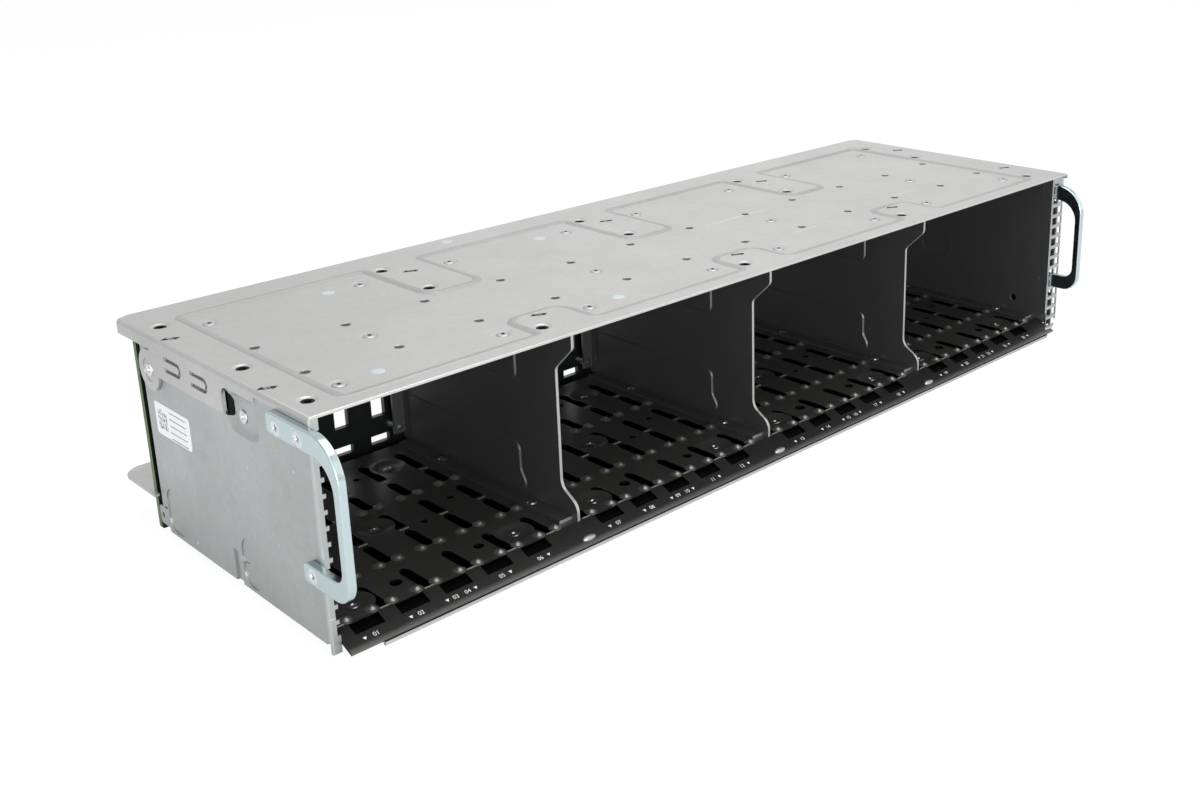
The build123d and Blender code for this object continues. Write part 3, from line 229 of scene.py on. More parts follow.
def circuit_board(name):
    """Glass-epoxy laminate under solder mask: green and glossy behind with faint copper lines, and a pale
    yellow-green sawn edge. Its front and the walls of its windows are painted nearly black, a painted shade,
    for it lies in shade behind the bays."""
    finish, tree = new_finish(name)
    coords = put(tree, "ShaderNodeTexCoord")
    facing = put(tree, "ShaderNodeSeparateXYZ", {"Vector": coords.outputs["Normal"]})
    turned = put(tree, "ShaderNodeMath", {0: facing.outputs["Y"]}, operation="ABSOLUTE")
    sawn = put(tree, "ShaderNodeMath", {0: turned.outputs[0], 1: 0.5}, operation="LESS_THAN").outputs[0]
    # the board's own left end is bare laminate; the walls of its windows share the front's painted shade
    where = put(tree, "ShaderNodeSeparateXYZ", {"Vector": coords.outputs["Object"]})
    outer = put(tree, "ShaderNodeMath", {0: where.outputs["X"], 1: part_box("backplane_board")[0][0] + MM},
                operation="LESS_THAN").outputs[0]
    edge = put(tree, "ShaderNodeMath", {0: sawn, 1: outer}, operation="MULTIPLY").outputs[0]
    ahead = put(tree, "ShaderNodeMath", {0: facing.outputs["Y"], 1: 0.5}, operation="LESS_THAN").outputs[0]
    # copper lines about 1 mm apart under the mask
    lines = put(tree, "ShaderNodeTexBrick", {"Vector": coords.outputs["Object"], "Scale": 110.0,
                                             "Color1": colour("123F22"), "Color2": colour("164A28"),
                                             "Mortar": colour("1F5C33"), "Mortar Size": 0.012})
    # front faces and window walls: near black painted shade; the rear keeps the green mask
    faces = put(tree, "ShaderNodeMix", {0: ahead, 6: lines.outputs["Color"], 7: colour("0C100E")},
                data_type="RGBA")
    skin = put(tree, "ShaderNodeMix", {0: edge, 6: faces.outputs[2], 7: colour("5E7350")}, data_type="RGBA")
    rough = put(tree, "ShaderNodeMix", {0: edge, 2: 0.3, 3: 0.7}, data_type="FLOAT")
    close_finish(tree, {"Base Color": skin.outputs[2], "Roughness": rough.outputs[0], "IOR": 1.5})
    return finish


def moulded_black(name):
    """Glass-filled nylon or LCP connector moulding: matt black with a fine grain."""
    finish, tree = new_finish(name)
    place = put(tree, "ShaderNodeTexCoord").outputs["Object"]
    grain = put(tree, "ShaderNodeTexNoise", {"Vector": place, "Scale": 1500.0, "Detail": 2.0})
    bump = put(tree, "ShaderNodeBump", {"Height": grain.outputs["Fac"], "Strength": 0.15,
                                        "Distance": 0.00005})
    close_finish(tree, {"Base Color": colour("141415"), "Roughness": 0.55, "Normal": bump.outputs["Normal"]})
    return finish


def rib_highlight_coat(name):
    """Pale satin grey on the black ribs, a painted highlight where they catch the light."""
    finish, tree = new_finish(name)
    place = put(tree, "ShaderNodeTexCoord").outputs["Object"]
    highlight_patches = put(tree, "ShaderNodeTexNoise", {"Vector": place, "Scale": 700.0, "Detail": 3.0})
    skin = put(tree, "ShaderNodeMix", {0: highlight_patches.outputs["Fac"], 6: colour("4A4A48"), 7: colour("8E8C88")},
               data_type="RGBA")
    close_finish(tree, {"Base Color": skin.outputs[2], "Metallic": 0.8, "Roughness": 0.3})
    return finish


def stamped_ink(name):
    """Pad-printed white ink on the coated lip: matt, a little thin in places."""
    finish, tree = new_finish(name)
    place = put(tree, "ShaderNodeTexCoord").outputs["Object"]
    thin = put(tree, "ShaderNodeTexNoise", {"Vector": place, "Scale": 2600.0, "Detail": 1.0})
    skin = put(tree, "ShaderNodeMix", {0: thin.outputs["Fac"], 6: colour("B9B9B7"), 7: colour("F0F0EE")},
               data_type="RGBA")
    close_finish(tree, {"Base Color": skin.outputs[2], "Roughness": 0.6, "IOR": 1.5})
    return finish


def paper_label(name, low, high):
    """A glossy white label with grey printed bars and a grey speckled block, and no wording. They follow
    the label's own length and height, whose two corners are given in metres."""
    finish, tree = new_finish(name)
    place = put(tree, "ShaderNodeTexCoord").outputs["Object"]
    where = put(tree, "ShaderNodeSeparateXYZ", {"Vector": place})
    along = put(tree, "ShaderNodeMapRange", {"Value": where.outputs["Y"], "From Min": high[1],
                                             "From Max": low[1]})
    across = put(tree, "ShaderNodeMapRange", {"Value": where.outputs["Z"], "From Min": low[2],
                                              "From Max": high[2]})
    u, v = along.outputs[0], across.outputs[0]
    # five bars over the label's height
    phase = put(tree, "ShaderNodeMath", {0: v, 1: 31.4}, operation="MULTIPLY")
    waves = put(tree, "ShaderNodeMath", {0: phase.outputs[0]}, operation="SINE")
    ink = put(tree, "ShaderNodeMath", {0: waves.outputs[0], 1: 0.82}, operation="GREATER_THAN").outputs[0]
    cells = put(tree, "ShaderNodeTexNoise", {"Vector": place, "Scale": 900.0})
    block = put(tree, "ShaderNodeMath", {0: cells.outputs["Fac"], 1: 0.5},
                operation="GREATER_THAN").outputs[0]
    for value, limit, kind in ((u, 0.42, "GREATER_THAN"), (u, 0.9, "LESS_THAN")):
        side = put(tree, "ShaderNodeMath", {0: value, 1: limit}, operation=kind)
        ink = put(tree, "ShaderNodeMath", {0: ink, 1: side.outputs[0]}, operation="MULTIPLY").outputs[0]
    for value, limit, kind in ((u, 0.08, "GREATER_THAN"), (u, 0.34, "LESS_THAN"), (v, 0.2, "GREATER_THAN"),
                               (v, 0.8, "LESS_THAN")):
        side = put(tree, "ShaderNodeMath", {0: value, 1: limit}, operation=kind)
        block = put(tree, "ShaderNodeMath", {0: block, 1: side.outputs[0]}, operation="MULTIPLY").outputs[0]
    printed = put(tree, "ShaderNodeMath", {0: block, 1: ink}, operation="MAXIMUM")
    skin = put(tree, "ShaderNodeMix", {0: printed.outputs[0], 6: colour("E9EAEC"), 7: colour("8A8B8D")},
               data_type="RGBA")
    close_finish(tree, {"Base Color": skin.outputs[2], "Roughness": 0.35, "IOR": 1.5})
    return finish


# how far back the tray's bend and the front edge of its lip lie, in the drawing's own frame
BEND_Y = 7.3
LIP_Y = -3.8

GALVANISED = galvanised("galvanised_sheet_steel", "C2C1C0", "B9B8B7", 0.44)
GALVANISED_SIDE = galvanised("galvanised_side_sheet", "AFB3B2", "A6A9A8", 0.42)
DRAWN = galvanised("drawn_galvanised_crease", "B0B0AF", "A4A4A3", 0.48)
# darker galvanised in the dimples: painted shade
DIMPLE_SHADE = galvanised("galvanised_dimple_painted_shade", "626261", "545453", 0.62)
BASE_SHEET = base_with_painted_shade_top("galvanised_base_with_painted_shade")
# the tray's cut edges, the walls of its slots and windows, are painted near black: painted shade
BLACK_TRAY = black_sheet("black_plated_tray", "101010", ("555452", "605F5D"), 0.32,
                         lip=(at(0, BEND_Y, 0).y, at(0, LIP_Y, 0).y))
# the black domes are painted pale grey as a painted highlight
DOME_HIGHLIGHT_GREY = black_sheet("black_domes_painted_highlight", "7C7B78", ("72716E", "848380"), 0.3)
BLACK_FLAT = black_sheet("black_plated_guide_plate", "2A2A2A", ("2C2C2C", "383838"), 0.4)
BLACK_WALL = black_sheet("black_plated_wall", "A8A8A5", ("555556", "606061"), 0.42, front_edges=True)
# near black that stands for the shade in holes, slits and behind the channel's holes: painted shade
SHADE_BLACK = black_sheet("painted_shade_black", "0A0A0A", ("080808", "0C0C0C"), 0.6)
ZINC = bright_zinc("bright_zinc_plated_steel", "B9C7C9", 0.15)
FASTENER = bright_zinc("zinc_plated_fastener_steel", "D3D6D6", 0.22)
BOARD = circuit_board("green_glass_epoxy_board")
MOULDED = moulded_black("black_connector_moulding")
SHELL = bright_zinc("stamped_tinned_shell", "C4C3BC", 0.3)
# the ribs' pale grey is a painted highlight
RIB_HIGHLIGHT = rib_highlight_coat("rib_painted_highlight")
RIVET = bright_zinc("flattened_rivet_steel", "B0B2B2", 0.42)
INK = stamped_ink("white_pad_printed_ink")
BURNISHED = bright_zinc("burnished_zinc_spot", "C9D2D6", 0.45)

FINISH_OF = {
    "top_cover": GALVANISED, "left_side_panel": GALVANISED_SIDE, "right_side_channel": GALVANISED_SIDE,
    "base_plate": BASE_SHEET, "rear_cable_shelf": GALVANISED,
    "lower_guide_tray": BLACK_TRAY, "right_inner_wall": BLACK_WALL,
    "left_handle": ZINC, "right_handle": ZINC,
    "backplane_board": BOARD, "power_connectors": MOULDED, "data_connectors": SHELL,
}
for node_name in NODES:
    if node_name.startswith("upper_guide_plate"):
        FINISH_OF[node_name] = BLACK_FLAT
    elif node_name.startswith("divider"):
        FINISH_OF[node_name] = BLACK_WALL
    elif node_name.startswith("drive_connectors"):
        FINISH_OF[node_name] = MOULDED
for node_name, solid in NODES.items():
    solid.data.materials.clear()
    solid.data.materials.append(FINISH_OF.get(node_name, FASTENER))


def finished_piece(bm, name, finish, smooth_below=None):
    """Ends a bmesh as a piece of the cage, with edges sharper than the angle kept sharp."""
    if smooth_below is not None:
        limit = math.radians(smooth_below)
        for face in bm.faces:
            face.smooth = True
        for edge in bm.edges:
            if len(edge.link_faces) == 2 and edge.calc_face_angle(0.0) > limit:
                edge.smooth = False
    mesh = bpy.data.meshes.new(name)
    bm.to_mesh(mesh)
    bm.free()
    mesh.materials.append(finish)
    piece = bpy.data.objects.new(name, mesh)
    bpy.context.scene.collection.objects.link(piece)
    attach(piece, "root")
    return piece


def merged(node):
    """A node's mesh as a bmesh, with the triangles' shared corners joined."""
    bm = bmesh.new()
    bm.from_mesh(NODES[node].data)
    bmesh.ops.remove_doubles(bm, verts=bm.verts, dist=SAME_PLACE)
    return bm


def smoothed_copy(node, angle=32.0, leave_out=None):
    """The CAD node again, shaded smooth across its bends and round forms, less the faces left out."""
    bm = merged(node)
    if leave_out:
        dropped = [face for face in bm.faces if leave_out(face.calc_center_median())]
        bmesh.ops.delete(bm, geom=dropped, context="FACES")
    piece = finished_piece(bm, node + "_smooth", FINISH_OF[node], angle)
    even = piece.modifiers.new("even_normals", "WEIGHTED_NORMAL")
    even.keep_sharp = True
    even.weight = 90
    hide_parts(node)


def solids_of(node):
    """The lowest and highest corner of every separate solid in a node."""
    bm = merged(node)
    left = set(bm.verts)
    boxes = []
    while left:
        group, queue = [], [left.pop()]
        while queue:
            vert = queue.pop()
            group.append(vert.co.copy())
            for edge in vert.link_edges:
                other = edge.other_vert(vert)
                if other in left:
                    left.remove(other)
                    queue.append(other)
        low = Vector(min(place[i] for place in group) for i in range(3))
        high = Vector(max(place[i] for place in group) for i in range(3))
        boxes.append((low, high))
    bm.free()
    return boxes


# no vertex of a turned piece lies farther than this from its seat, in millimetres
FASTENER_REACH = 12
# lower than this a recess has no lobes
SOCKET_DEPTH = 2.2
# half of the most that a recess is drawn in between its lobes, as a share of the radius
LOBE_DEPTH = 0.2


def turn_profile(bm, seat, axis, profile, steps=28, lobes=0, socket=(0.0, 0.0)):
    """Spins (radius, height) points in millimetres about an axis through seat. The verts between the
    two socket radii are drawn in by turns, so that a driver's recess has lobes."""
    axis = axis.normalized()
    side = axis.orthogonal().normalized()
    verts = [bm.verts.new(seat + (side * r + axis * h) * MM) for r, h in profile]
    edges = [bm.edges.new(pair) for pair in zip(verts, verts[1:])]
    bmesh.ops.spin(bm, geom=verts + edges, cent=seat, axis=axis, angle=math.tau, steps=steps, use_merge=True)
    near = [v for v in bm.verts if (v.co - seat).length < FASTENER_REACH * MM]
    if lobes:
        for vert in near:
            arm = vert.co - seat
            height = arm.dot(axis)
            out = arm - axis * height
            if socket[0] * MM < out.length < socket[1] * MM and height > -SOCKET_DEPTH * MM:
                turn = math.atan2(out.dot(axis.cross(side)), out.dot(side))
                vert.co -= out * LOBE_DEPTH * (1.0 - math.cos(turn * lobes))
    bmesh.ops.remove_doubles(bm, verts=near, dist=SAME_PLACE)


def heads(name, nodes_and_axes, profile, finish, lobes=0, socket=(0.0, 0.0)):
    """Turned fasteners in the places of the CAD's plain ones, with their recesses."""
    bm = bmesh.new()
    for node, axis in nodes_and_axes:
        for low, high in solids_of(node):
            way = Vector(axis)
            if node == "side_rivets" and low.x > 0:
                way = -way
            middle = (low + high) / 2
            reach = max(abs(c) for c in (high - low) * 0.5 * way)
            turn_profile(bm, middle + way * reach, way, profile, lobes=lobes, socket=socket)
    bmesh.ops.recalc_face_normals(bm, faces=bm.faces)
    piece = finished_piece(bm, name, finish, 35.0)
    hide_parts(*[node for node, axis in nodes_and_axes])


# a flat rivet: a dished middle in a rolled rim; heights count down from the head's top
FLAT_RIVET = [(0, -2.0), (0.5, -2.0), (0.55, -0.3), (0.75, -0.06), (1.0, 0.0), (1.9, 0.0), (2.3, -0.1),
              (2.5, -0.3), (2.5, -0.38), (1.45, -0.4), (1.45, -2.2), (0, -2.2)]
FLOOR_RIVET = [(0, -0.5), (0.5, -0.45), (0.8, -0.1), (1.2, 0.0), (1.7, -0.1), (2.1, -0.38), (1.45, -0.4),
               (1.45, -2.3), (0, -2.3)]
SIDE_RIVET = [(0, -1.2), (0.5, -1.1), (0.85, -0.2), (1.3, 0.0), (1.9, -0.02), (2.4, -0.2), (2.5, -0.5),
              (1.45, -0.5), (1.45, -3.2), (0, -3.2)]
# a countersunk screw with a six-lobed recess
SUNK_SCREW = [(0, -1.7), (1.0, -1.6), (1.35, -0.4), (1.45, -0.12), (1.75, 0.0), (2.5, 0.0), (2.9, -0.14),
              (1.5, -1.5), (1.5, -4.6), (0, -4.6)]
PAN_SCREW = [(0, -1.1), (0.8, -1.0), (1.05, -0.1), (1.2, 0.0), (1.6, -0.04), (2.0, -0.3), (2.2, -0.8),
             (2.2, -1.5), (1.2, -1.5), (1.2, -4.0), (0, -4.0)]
# the recesses: how many lobes, and the inner and outer radius of the ring that they are drawn in
LOBES = 6
SUNK_SOCKET = (0.9, 1.5)
PAN_SOCKET = (0.7, 1.15)
# the right handle's screws end sooner, inside the channel
SHORT_SCREW = 3.0


def add_fasteners():
    """Every rivet and screw of the cage, with its true head."""
    heads("cover_rivet_heads", [("cover_rivets", (0, 0, 1))], FLAT_RIVET, RIVET)
    heads("tray_rivet_heads", [("tray_rivets", (0, 0, 1))], FLOOR_RIVET, FASTENER)
    heads("flange_rivet_heads", [("side_rivets", (-1, 0, 0)), ("scoop_screw", (-1, 0, 0))], SIDE_RIVET,
          FASTENER)
    heads("left_handle_screw_heads", [("left_handle_screws", (-1, 0, 0))], SUNK_SCREW, FASTENER, LOBES,
          SUNK_SOCKET)
    short = [(r, max(h, -SHORT_SCREW)) for r, h in SUNK_SCREW]
    heads("right_handle_screw_heads", [("right_handle_screws", (1, 0, 0))], short, FASTENER, LOBES,
          SUNK_SOCKET)
    heads("board_screw_heads", [("board_screws", (0, 1, 0)), ("shelf_screws", (0, 1, 0))], PAN_SCREW,
          FASTENER, LOBES, PAN_SOCKET)


# the drive grid and the tray, in millimetres of the drawing's own frame
PITCH = 17.8
PER_BAY = 6
BAYS = 4
BAY = PITCH * PER_BAY
GRID_LEFT = 2.2
GUIDE_OFFSET = 4.4
LINES = [GRID_LEFT + BAY * k for k in range(BAYS + 1)]
GUIDES = [GRID_LEFT + GUIDE_OFFSET + PITCH * j for j in range(PER_BAY * BAYS)]
FLOOR_Z = 3.1
LIP_FALL = 4.6
DOME_YS = (9.1, 32.3, 72.3)
DOME_X = 3.9
# no dome stands nearer than this to a wall
DOME_CLEAR = 2.9
# radius and height of the bell-shaped boss, from its crown out
DOME = [(0, 1.35), (0.6, 1.22), (1.1, 0.9), (1.5, 0.5), (1.9, 0.2), (2.5, 0.02), (2.5, -0.2), (0, -0.2)]
BRIDGE_YS = (49.5, 89.0, BEND_Y - 0.1)
# a rib before its edges are rounded, and how far its middle stands above the floor
RIB = Vector((4.0, 0.6, 0.5)) * MM
RIB_LIFT = 0.1


def lip_matrix():
    """From the lip's own plane (along the cage, up the slope, out of the sheet) to the row frame."""
    run = BEND_Y - LIP_Y
    up = Vector((0, run, LIP_FALL)).normalized()
    out = Vector((1, 0, 0)).cross(up)
    turn = Matrix((Vector((1, 0, 0)), up, out)).transposed().to_4x4()
    return Matrix.Translation(at(0, BEND_Y, FLOOR_Z)) @ turn


def add_guide_domes():
    """The round bosses beside each slot's front end, which carry the drives; their pale grey is a painted
    highlight on the black domes.
    """
    bm = bmesh.new()
    for x in GUIDES:
        for side in (-1, 1):
            bx = x + side * DOME_X
            if min(abs(bx - wall) for wall in LINES) > DOME_CLEAR:
                for y in DOME_YS:
                    turn_profile(bm, at(bx, y, FLOOR_Z), UP, DOME, steps=20)
    bmesh.ops.recalc_face_normals(bm, faces=bm.faces)
    finished_piece(bm, "guide_domes", DOME_HIGHLIGHT_GREY, 60.0)


def add_bridge_ribs():
    """The short pressed ribs on the bridges between the slots of one line, painted pale grey as a painted
    highlight.
    """
    bm = bmesh.new()
    for x in GUIDES:
        for y in BRIDGE_YS:
            rib = bmesh.ops.create_cube(bm, size=1.0)["verts"]
            bmesh.ops.scale(bm, verts=rib, vec=RIB)
            bmesh.ops.translate(bm, verts=rib, vec=at(x, y, FLOOR_Z + RIB_LIFT))
    long_edges = []
    for edge in bm.edges:
        start, end = (vert.co for vert in edge.verts)
        if abs(start.x - end.x) > MM and start.z > FLOOR_Z * MM:
            long_edges.append(edge)
    bmesh.ops.bevel(bm, geom=long_edges, offset=0.25 * MM, offset_type="OFFSET", segments=4, profile=0.5,
                    affect="EDGES", material=-1)
    finished_piece(bm, "bridge_ribs", RIB_HIGHLIGHT, 40.0)


# for each place of a bay: the arrowhead and the digits, from the bay's left line
MARKS = ((11.7, 15.9), (29.6, 33.4), (44.2, 47.6), (56.0, 52.6), (71.2, 67.4), (88.6, 84.7))
# the arrowhead's radius, how far both lie down the lip from the bend, and the height of the digits
ARROW_R = 0.85
ARROW_DOWN = 8.3
DIGITS_DOWN = 9.2
DIGITS_TALL = 2.4
INK_LIFT = 0.03


def add_lip_marks():
    """White arrowheads and the plain number of each drive place, printed on the lip."""
    bm = bmesh.new()
    plane = lip_matrix()
    for k in range(BAYS):
        for j, (arrow, digits) in enumerate(MARKS):
            seat = Vector((BAY * k + arrow, -ARROW_DOWN, INK_LIFT)) * MM
            place = plane @ Matrix.Translation(seat) @ Matrix.Rotation(math.pi, 4, "Z")
            bmesh.ops.create_circle(bm, cap_ends=True, segments=3, radius=ARROW_R * MM, matrix=place)
            text = bpy.data.curves.new("mark", "FONT")
            text.body = f"{PER_BAY * k + j + 1:02d}"
            text.size = DIGITS_TALL * MM
            text.align_x = "CENTER"
            holder = bpy.data.objects.new("mark", text)
            bpy.context.scene.collection.objects.link(holder)
            flat = bpy.data.meshes.new_from_object(holder)
            seat = Vector((BAY * k + digits, -DIGITS_DOWN, INK_LIFT)) * MM
            flat.transform(plane @ Matrix.Translation(seat))
            bm.from_mesh(flat)
            bpy.data.objects.remove(holder)
            bpy.data.curves.remove(text)
            bpy.data.meshes.remove(flat)
    finished_piece(bm, "lip_marks", INK)


# two opposite corners of the label
LABEL = (at(0.96, 88.4, 41.7), at(1.08, 116.0, 54.5))


def add_label():
    """A label with rounded corners, lying on the left side panel."""
    low, high = LABEL
    bm = bmesh.new()
    slab = bmesh.ops.create_cube(bm, size=1.0)["verts"]
    bmesh.ops.scale(bm, verts=slab, vec=high - low)
    bmesh.ops.translate(bm, verts=slab, vec=(low + high) / 2)
    corners = [e for e in bm.edges if abs(e.verts[0].co.x - e.verts[1].co.x) > 0.05 * MM]
    bmesh.ops.bevel(bm, geom=corners, offset=1.4 * MM, offset_type="OFFSET", segments=6, profile=0.5,
                    affect="EDGES", material=-1)
    finished_piece(bm, "side_label", paper_label("white_paper_label", low, high))


# places in the cover; those of one bay are measured from its left line
SINK_HOLES = [(8.1, 118.5), (8.1, 56.1), (8.1, 13.8)]
SINK_HOLES += [(line - 6.7, y) for line in LINES[1:] for y in (118.5, 84.5, 13.8)]
DIMPLES = [(18.4, 71.3), (18.3, 36.8), (53.4, 69.3), (53.3, 34.5), (88.9, 71.2), (89.1, 36.8)]
LEFT_DIMPLES = [(14.2, 71.7), (14.5, 37.2)]
LANCES = [(4.2, 101.6), (4.2, 32.0), (LINES[4] + 0.6, 101.6), (LINES[4] + 0.6, 32.0)]
LANCES += [(line + 0.6, y) for line in LINES[1:4] for y in (108.2, 24.8)]
COVER_Z = 80.8
FIELD_Z = 80.4
SHEET = 1.0
RIVETS = [(20.2, 109.0), (84.0, 109.2), (53.1, 53.0), (20.3, 19.2), (86.2, 18.8)]
# profiles turned about a hole's axis, in radius and height
BUSH = [(0, -0.9), (1.1, -0.9), (1.3, 0.25), (2.2, 0.3), (2.2, -1.0), (0, -1.0)]
RIVET_MIDDLE = [(0, 0.01), (0.7, 0.01), (0.7, -0.3), (0, -0.3)]
LANCE_PIT = [(0, 0), (2.9, 0), (2.9, -0.4), (0, -0.4)]
DIMPLE_SKIN = [(0, -0.5), (0.8, -0.42), (1.5, -0.16), (2.05, 0.02), (2.0, -0.3), (0, -0.75)]
# the two openings of a lanced slit, to each side of its middle
SLIT_R = 1.7
SLIT_OUT = 1.75
SLIT_BACK = 0.7
SLIT_TURN = 0.5


def add_hole_painted_shade():
    """Threaded bushes under the cover's countersunk holes, discs in the hollow middles of its rivets and
    triangles at its lanced slits, all near black as painted shade, which look black from outside; and the
    dimples' skins, painted darker as painted shade."""
    bm = bmesh.new()
    for x, y in SINK_HOLES:
        turn_profile(bm, at(x, y, COVER_Z - SHEET), UP, BUSH)
    for line in LINES[:-1]:
        for dx, y in RIVETS:
            turn_profile(bm, at(line + dx, y, FIELD_Z), UP, RIVET_MIDDLE)
    for x, y in LANCES:
        turn_profile(bm, at(x, y, COVER_Z - SHEET - 0.05), UP, LANCE_PIT)
        for way in (-1, 1):
            gap = Matrix.Translation(at(x + way * SLIT_OUT, y - way * SLIT_BACK, COVER_Z + 0.02))
            gap = gap @ Matrix.Rotation(way * SLIT_TURN, 4, "Z")
            bmesh.ops.create_circle(bm, cap_ends=True, segments=3, radius=SLIT_R * MM, matrix=gap)
    bmesh.ops.recalc_face_normals(bm, faces=bm.faces)
    finished_piece(bm, "hole_painted_shade", SHADE_BLACK, 40.0)
    # the dimples' darker skins are painted shade
    bm = bmesh.new()
    for line in LINES[:-1]:
        for dx, y in DIMPLES + (LEFT_DIMPLES if line == LINES[0] else []):
            turn_profile(bm, at(line + dx, y, FIELD_Z), UP, DIMPLE_SKIN)
    bmesh.ops.recalc_face_normals(bm, faces=bm.faces)
    finished_piece(bm, "dimple_shade_skins", DIMPLE_SHADE, 60.0)


INNER_WALL_X = 429.4
CHANNEL_X = 430.0
CHANNEL_OUT = 440.0
FRONT_Y = 1.8
HOLE_ROWS = [72.9 - 5.5 * n for n in range(14)]
# half the height of a square hole, and of the tab behind it
HOLE_HALF = 2.4
TAB_HALF = 2.3
# the heights that the handle's two arms cover
ARM_SPANS = ((20.0, 29.0), (67.0, 77.0))
# the hole behind the flange and the studs of the inner wall, as places and turned profiles
WALL_HOLE = (21.6, 11.5)
WALL_HOLE_DARK = [(0, 0.1), (1.9, 0.1), (1.9, -0.1), (0, -0.1)]
WALL_STUDS = ((21.8, 71.3), (8.3, 71.6), (8.3, 24.5))
WALL_STUD = [(0, 0.12), (1.6, 0.12), (2.2, 0.02), (2.2, -0.1), (0, -0.1)]


def beaded_bar(bm, low, high, radius):
    """A small bar between two corners with all its edges rounded."""
    bar = bmesh.ops.create_cube(bm, size=1.0)["verts"]
    bmesh.ops.scale(bm, verts=bar, vec=high - low)
    bmesh.ops.translate(bm, verts=bar, vec=(low + high) / 2)
    edges = list({edge for vert in bar for edge in vert.link_edges})
    bmesh.ops.bevel(bm, geom=edges, offset=radius * MM, offset_type="OFFSET", segments=3, profile=0.5,
                    affect="EDGES", material=-1)


def add_channel_details():
    """The rolled outer edge of the right channel's face; tabs behind its inner row of square holes, clear of
    the handle's arms, and a disc in the hole behind the flange, both near black as painted shade; and the
    studs of the inner wall."""
    bm = bmesh.new()
    beaded_bar(bm, at(CHANNEL_OUT - 0.9, FRONT_Y, 1.0), at(CHANNEL_OUT, FRONT_Y + 0.9, 78.6), 0.3)
    finished_piece(bm, "channel_front_bead", GALVANISED_SIDE, 40.0)
    # near black painted shade behind the square holes and in the hole behind the flange
    bm = bmesh.new()
    for z in HOLE_ROWS:
        if not any(low < z + HOLE_HALF and z - HOLE_HALF < high for low, high in ARM_SPANS):
            inner = at(CHANNEL_X + 1.0, FRONT_Y + 1.1, z - TAB_HALF)
            outer = at(CHANNEL_X + 5.0, FRONT_Y + 1.6, z + TAB_HALF)
            beaded_bar(bm, inner, outer, 0.15)
    turn_profile(bm, at(INNER_WALL_X + 0.35, *WALL_HOLE), Vector((1, 0, 0)), WALL_HOLE_DARK)
    bmesh.ops.recalc_face_normals(bm, faces=bm.faces)
    finished_piece(bm, "inner_flange_tabs", SHADE_BLACK, 40.0)
    bm = bmesh.new()
    for y, z in WALL_STUDS:
        turn_profile(bm, at(INNER_WALL_X - 0.5, y, z), Vector((-1, 0, 0)), WALL_STUD)
    bmesh.ops.recalc_face_normals(bm, faces=bm.faces)
    finished_piece(bm, "inner_wall_studs", BLACK_WALL, 40.0)


# a lug is turned, and then drawn out along the cage
LUG = [(0, 0.9), (0.8, 0.8), (1.2, 0.45), (1.35, 0.0), (1.35, -0.5), (0, -0.5)]
LUG_REACH = 4
LUG_STRETCH = (2.3, 1.0, 1.0)


def add_divider_lugs():
    """The bright rounded lug that holds each divider's foot to the lip."""
    bm = bmesh.new()
    for line in LINES[1:]:
        seat = at(line - 1.7, -1.2, -0.3)
        turn_profile(bm, seat, Vector((0, -0.3, 1)), LUG)
        near = [v for v in bm.verts if (v.co - seat).length < LUG_REACH * MM]
        bmesh.ops.scale(bm, verts=near, vec=LUG_STRETCH, space=Matrix.Translation(-seat))
    bmesh.ops.recalc_face_normals(bm, faces=bm.faces)
    finished_piece(bm, "divider_lugs", DRAWN, 40.0)


# the pressed field: its left, right, front and rear edge
FIELD = (16.3, 417.4, 7.5, 123.8)
# a raised pad: how far it reaches left and right of a divider's line, and where it ends at front and rear
PADS = (12.0, 13.4, 28.5, 76.5)
FIELD_CORNER_R = 5.0
# the swage across the field's edge: distance into the field and height above the cover's field
SWAGE = ((-1.5, 0.3), (-1.3, 0.42), (-0.9, 0.52), (-0.3, 0.58), (0.3, 0.53), (0.9, 0.36), (1.6, 0.14),
         (2.2, 0.0))


def field_outline():
    """The corners of the swage's outer line: the pressed field less the raised pads at each wall."""
    out = -SWAGE[0][0]
    left, right, front, rear = FIELD[0] - out, FIELD[1] + out, FIELD[2] - out, FIELD[3] + out
    before, behind, front_pad, rear_pad = PADS[0] - out, PADS[1] - out, PADS[2] - out, PADS[3] + out
    corners = [(left, front)]
    for line in LINES[1:-1]:
        corners += [(line - before, front), (line - before, front_pad)]
        corners += [(line + behind, front_pad), (line + behind, front)]
    corners += [(right, front), (right, rear)]
    for line in reversed(LINES[1:-1]):
        corners += [(line + behind, rear), (line + behind, rear_pad)]
        corners += [(line - before, rear_pad), (line - before, rear)]
    return corners + [(left, rear)]


def add_swages():
    """The soft pressed step round the cover's field, as one swept band."""
    bm = bmesh.new()
    start = SWAGE[0]
    ring = [bm.verts.new(at(x, y, FIELD_Z + start[1])) for x, y in field_outline()]
    edges = [bm.edges.new(pair) for pair in zip(ring, ring[1:] + ring[:1])]
    bmesh.ops.contextual_create(bm, geom=edges)
    bmesh.ops.bevel(bm, geom=bm.verts[:], offset=FIELD_CORNER_R * MM, offset_type="OFFSET", segments=8,
                    profile=0.5, affect="VERTICES", material=-1)
    field = bm.faces[:]
    bmesh.ops.recalc_face_normals(bm, faces=field)
    for face in field:
        if face.normal.z < 0:
            face.normal_flip()
    for (near, low), (far, high) in zip(SWAGE, SWAGE[1:]):
        bmesh.ops.inset_region(bm, faces=field, use_boundary=True, use_even_offset=True,
                               thickness=(far - near) * MM, depth=(high - low) * MM)
    bmesh.ops.delete(bm, geom=field, context="FACES_ONLY")
    finished_piece(bm, "pressed_swages", DRAWN, 70.0)


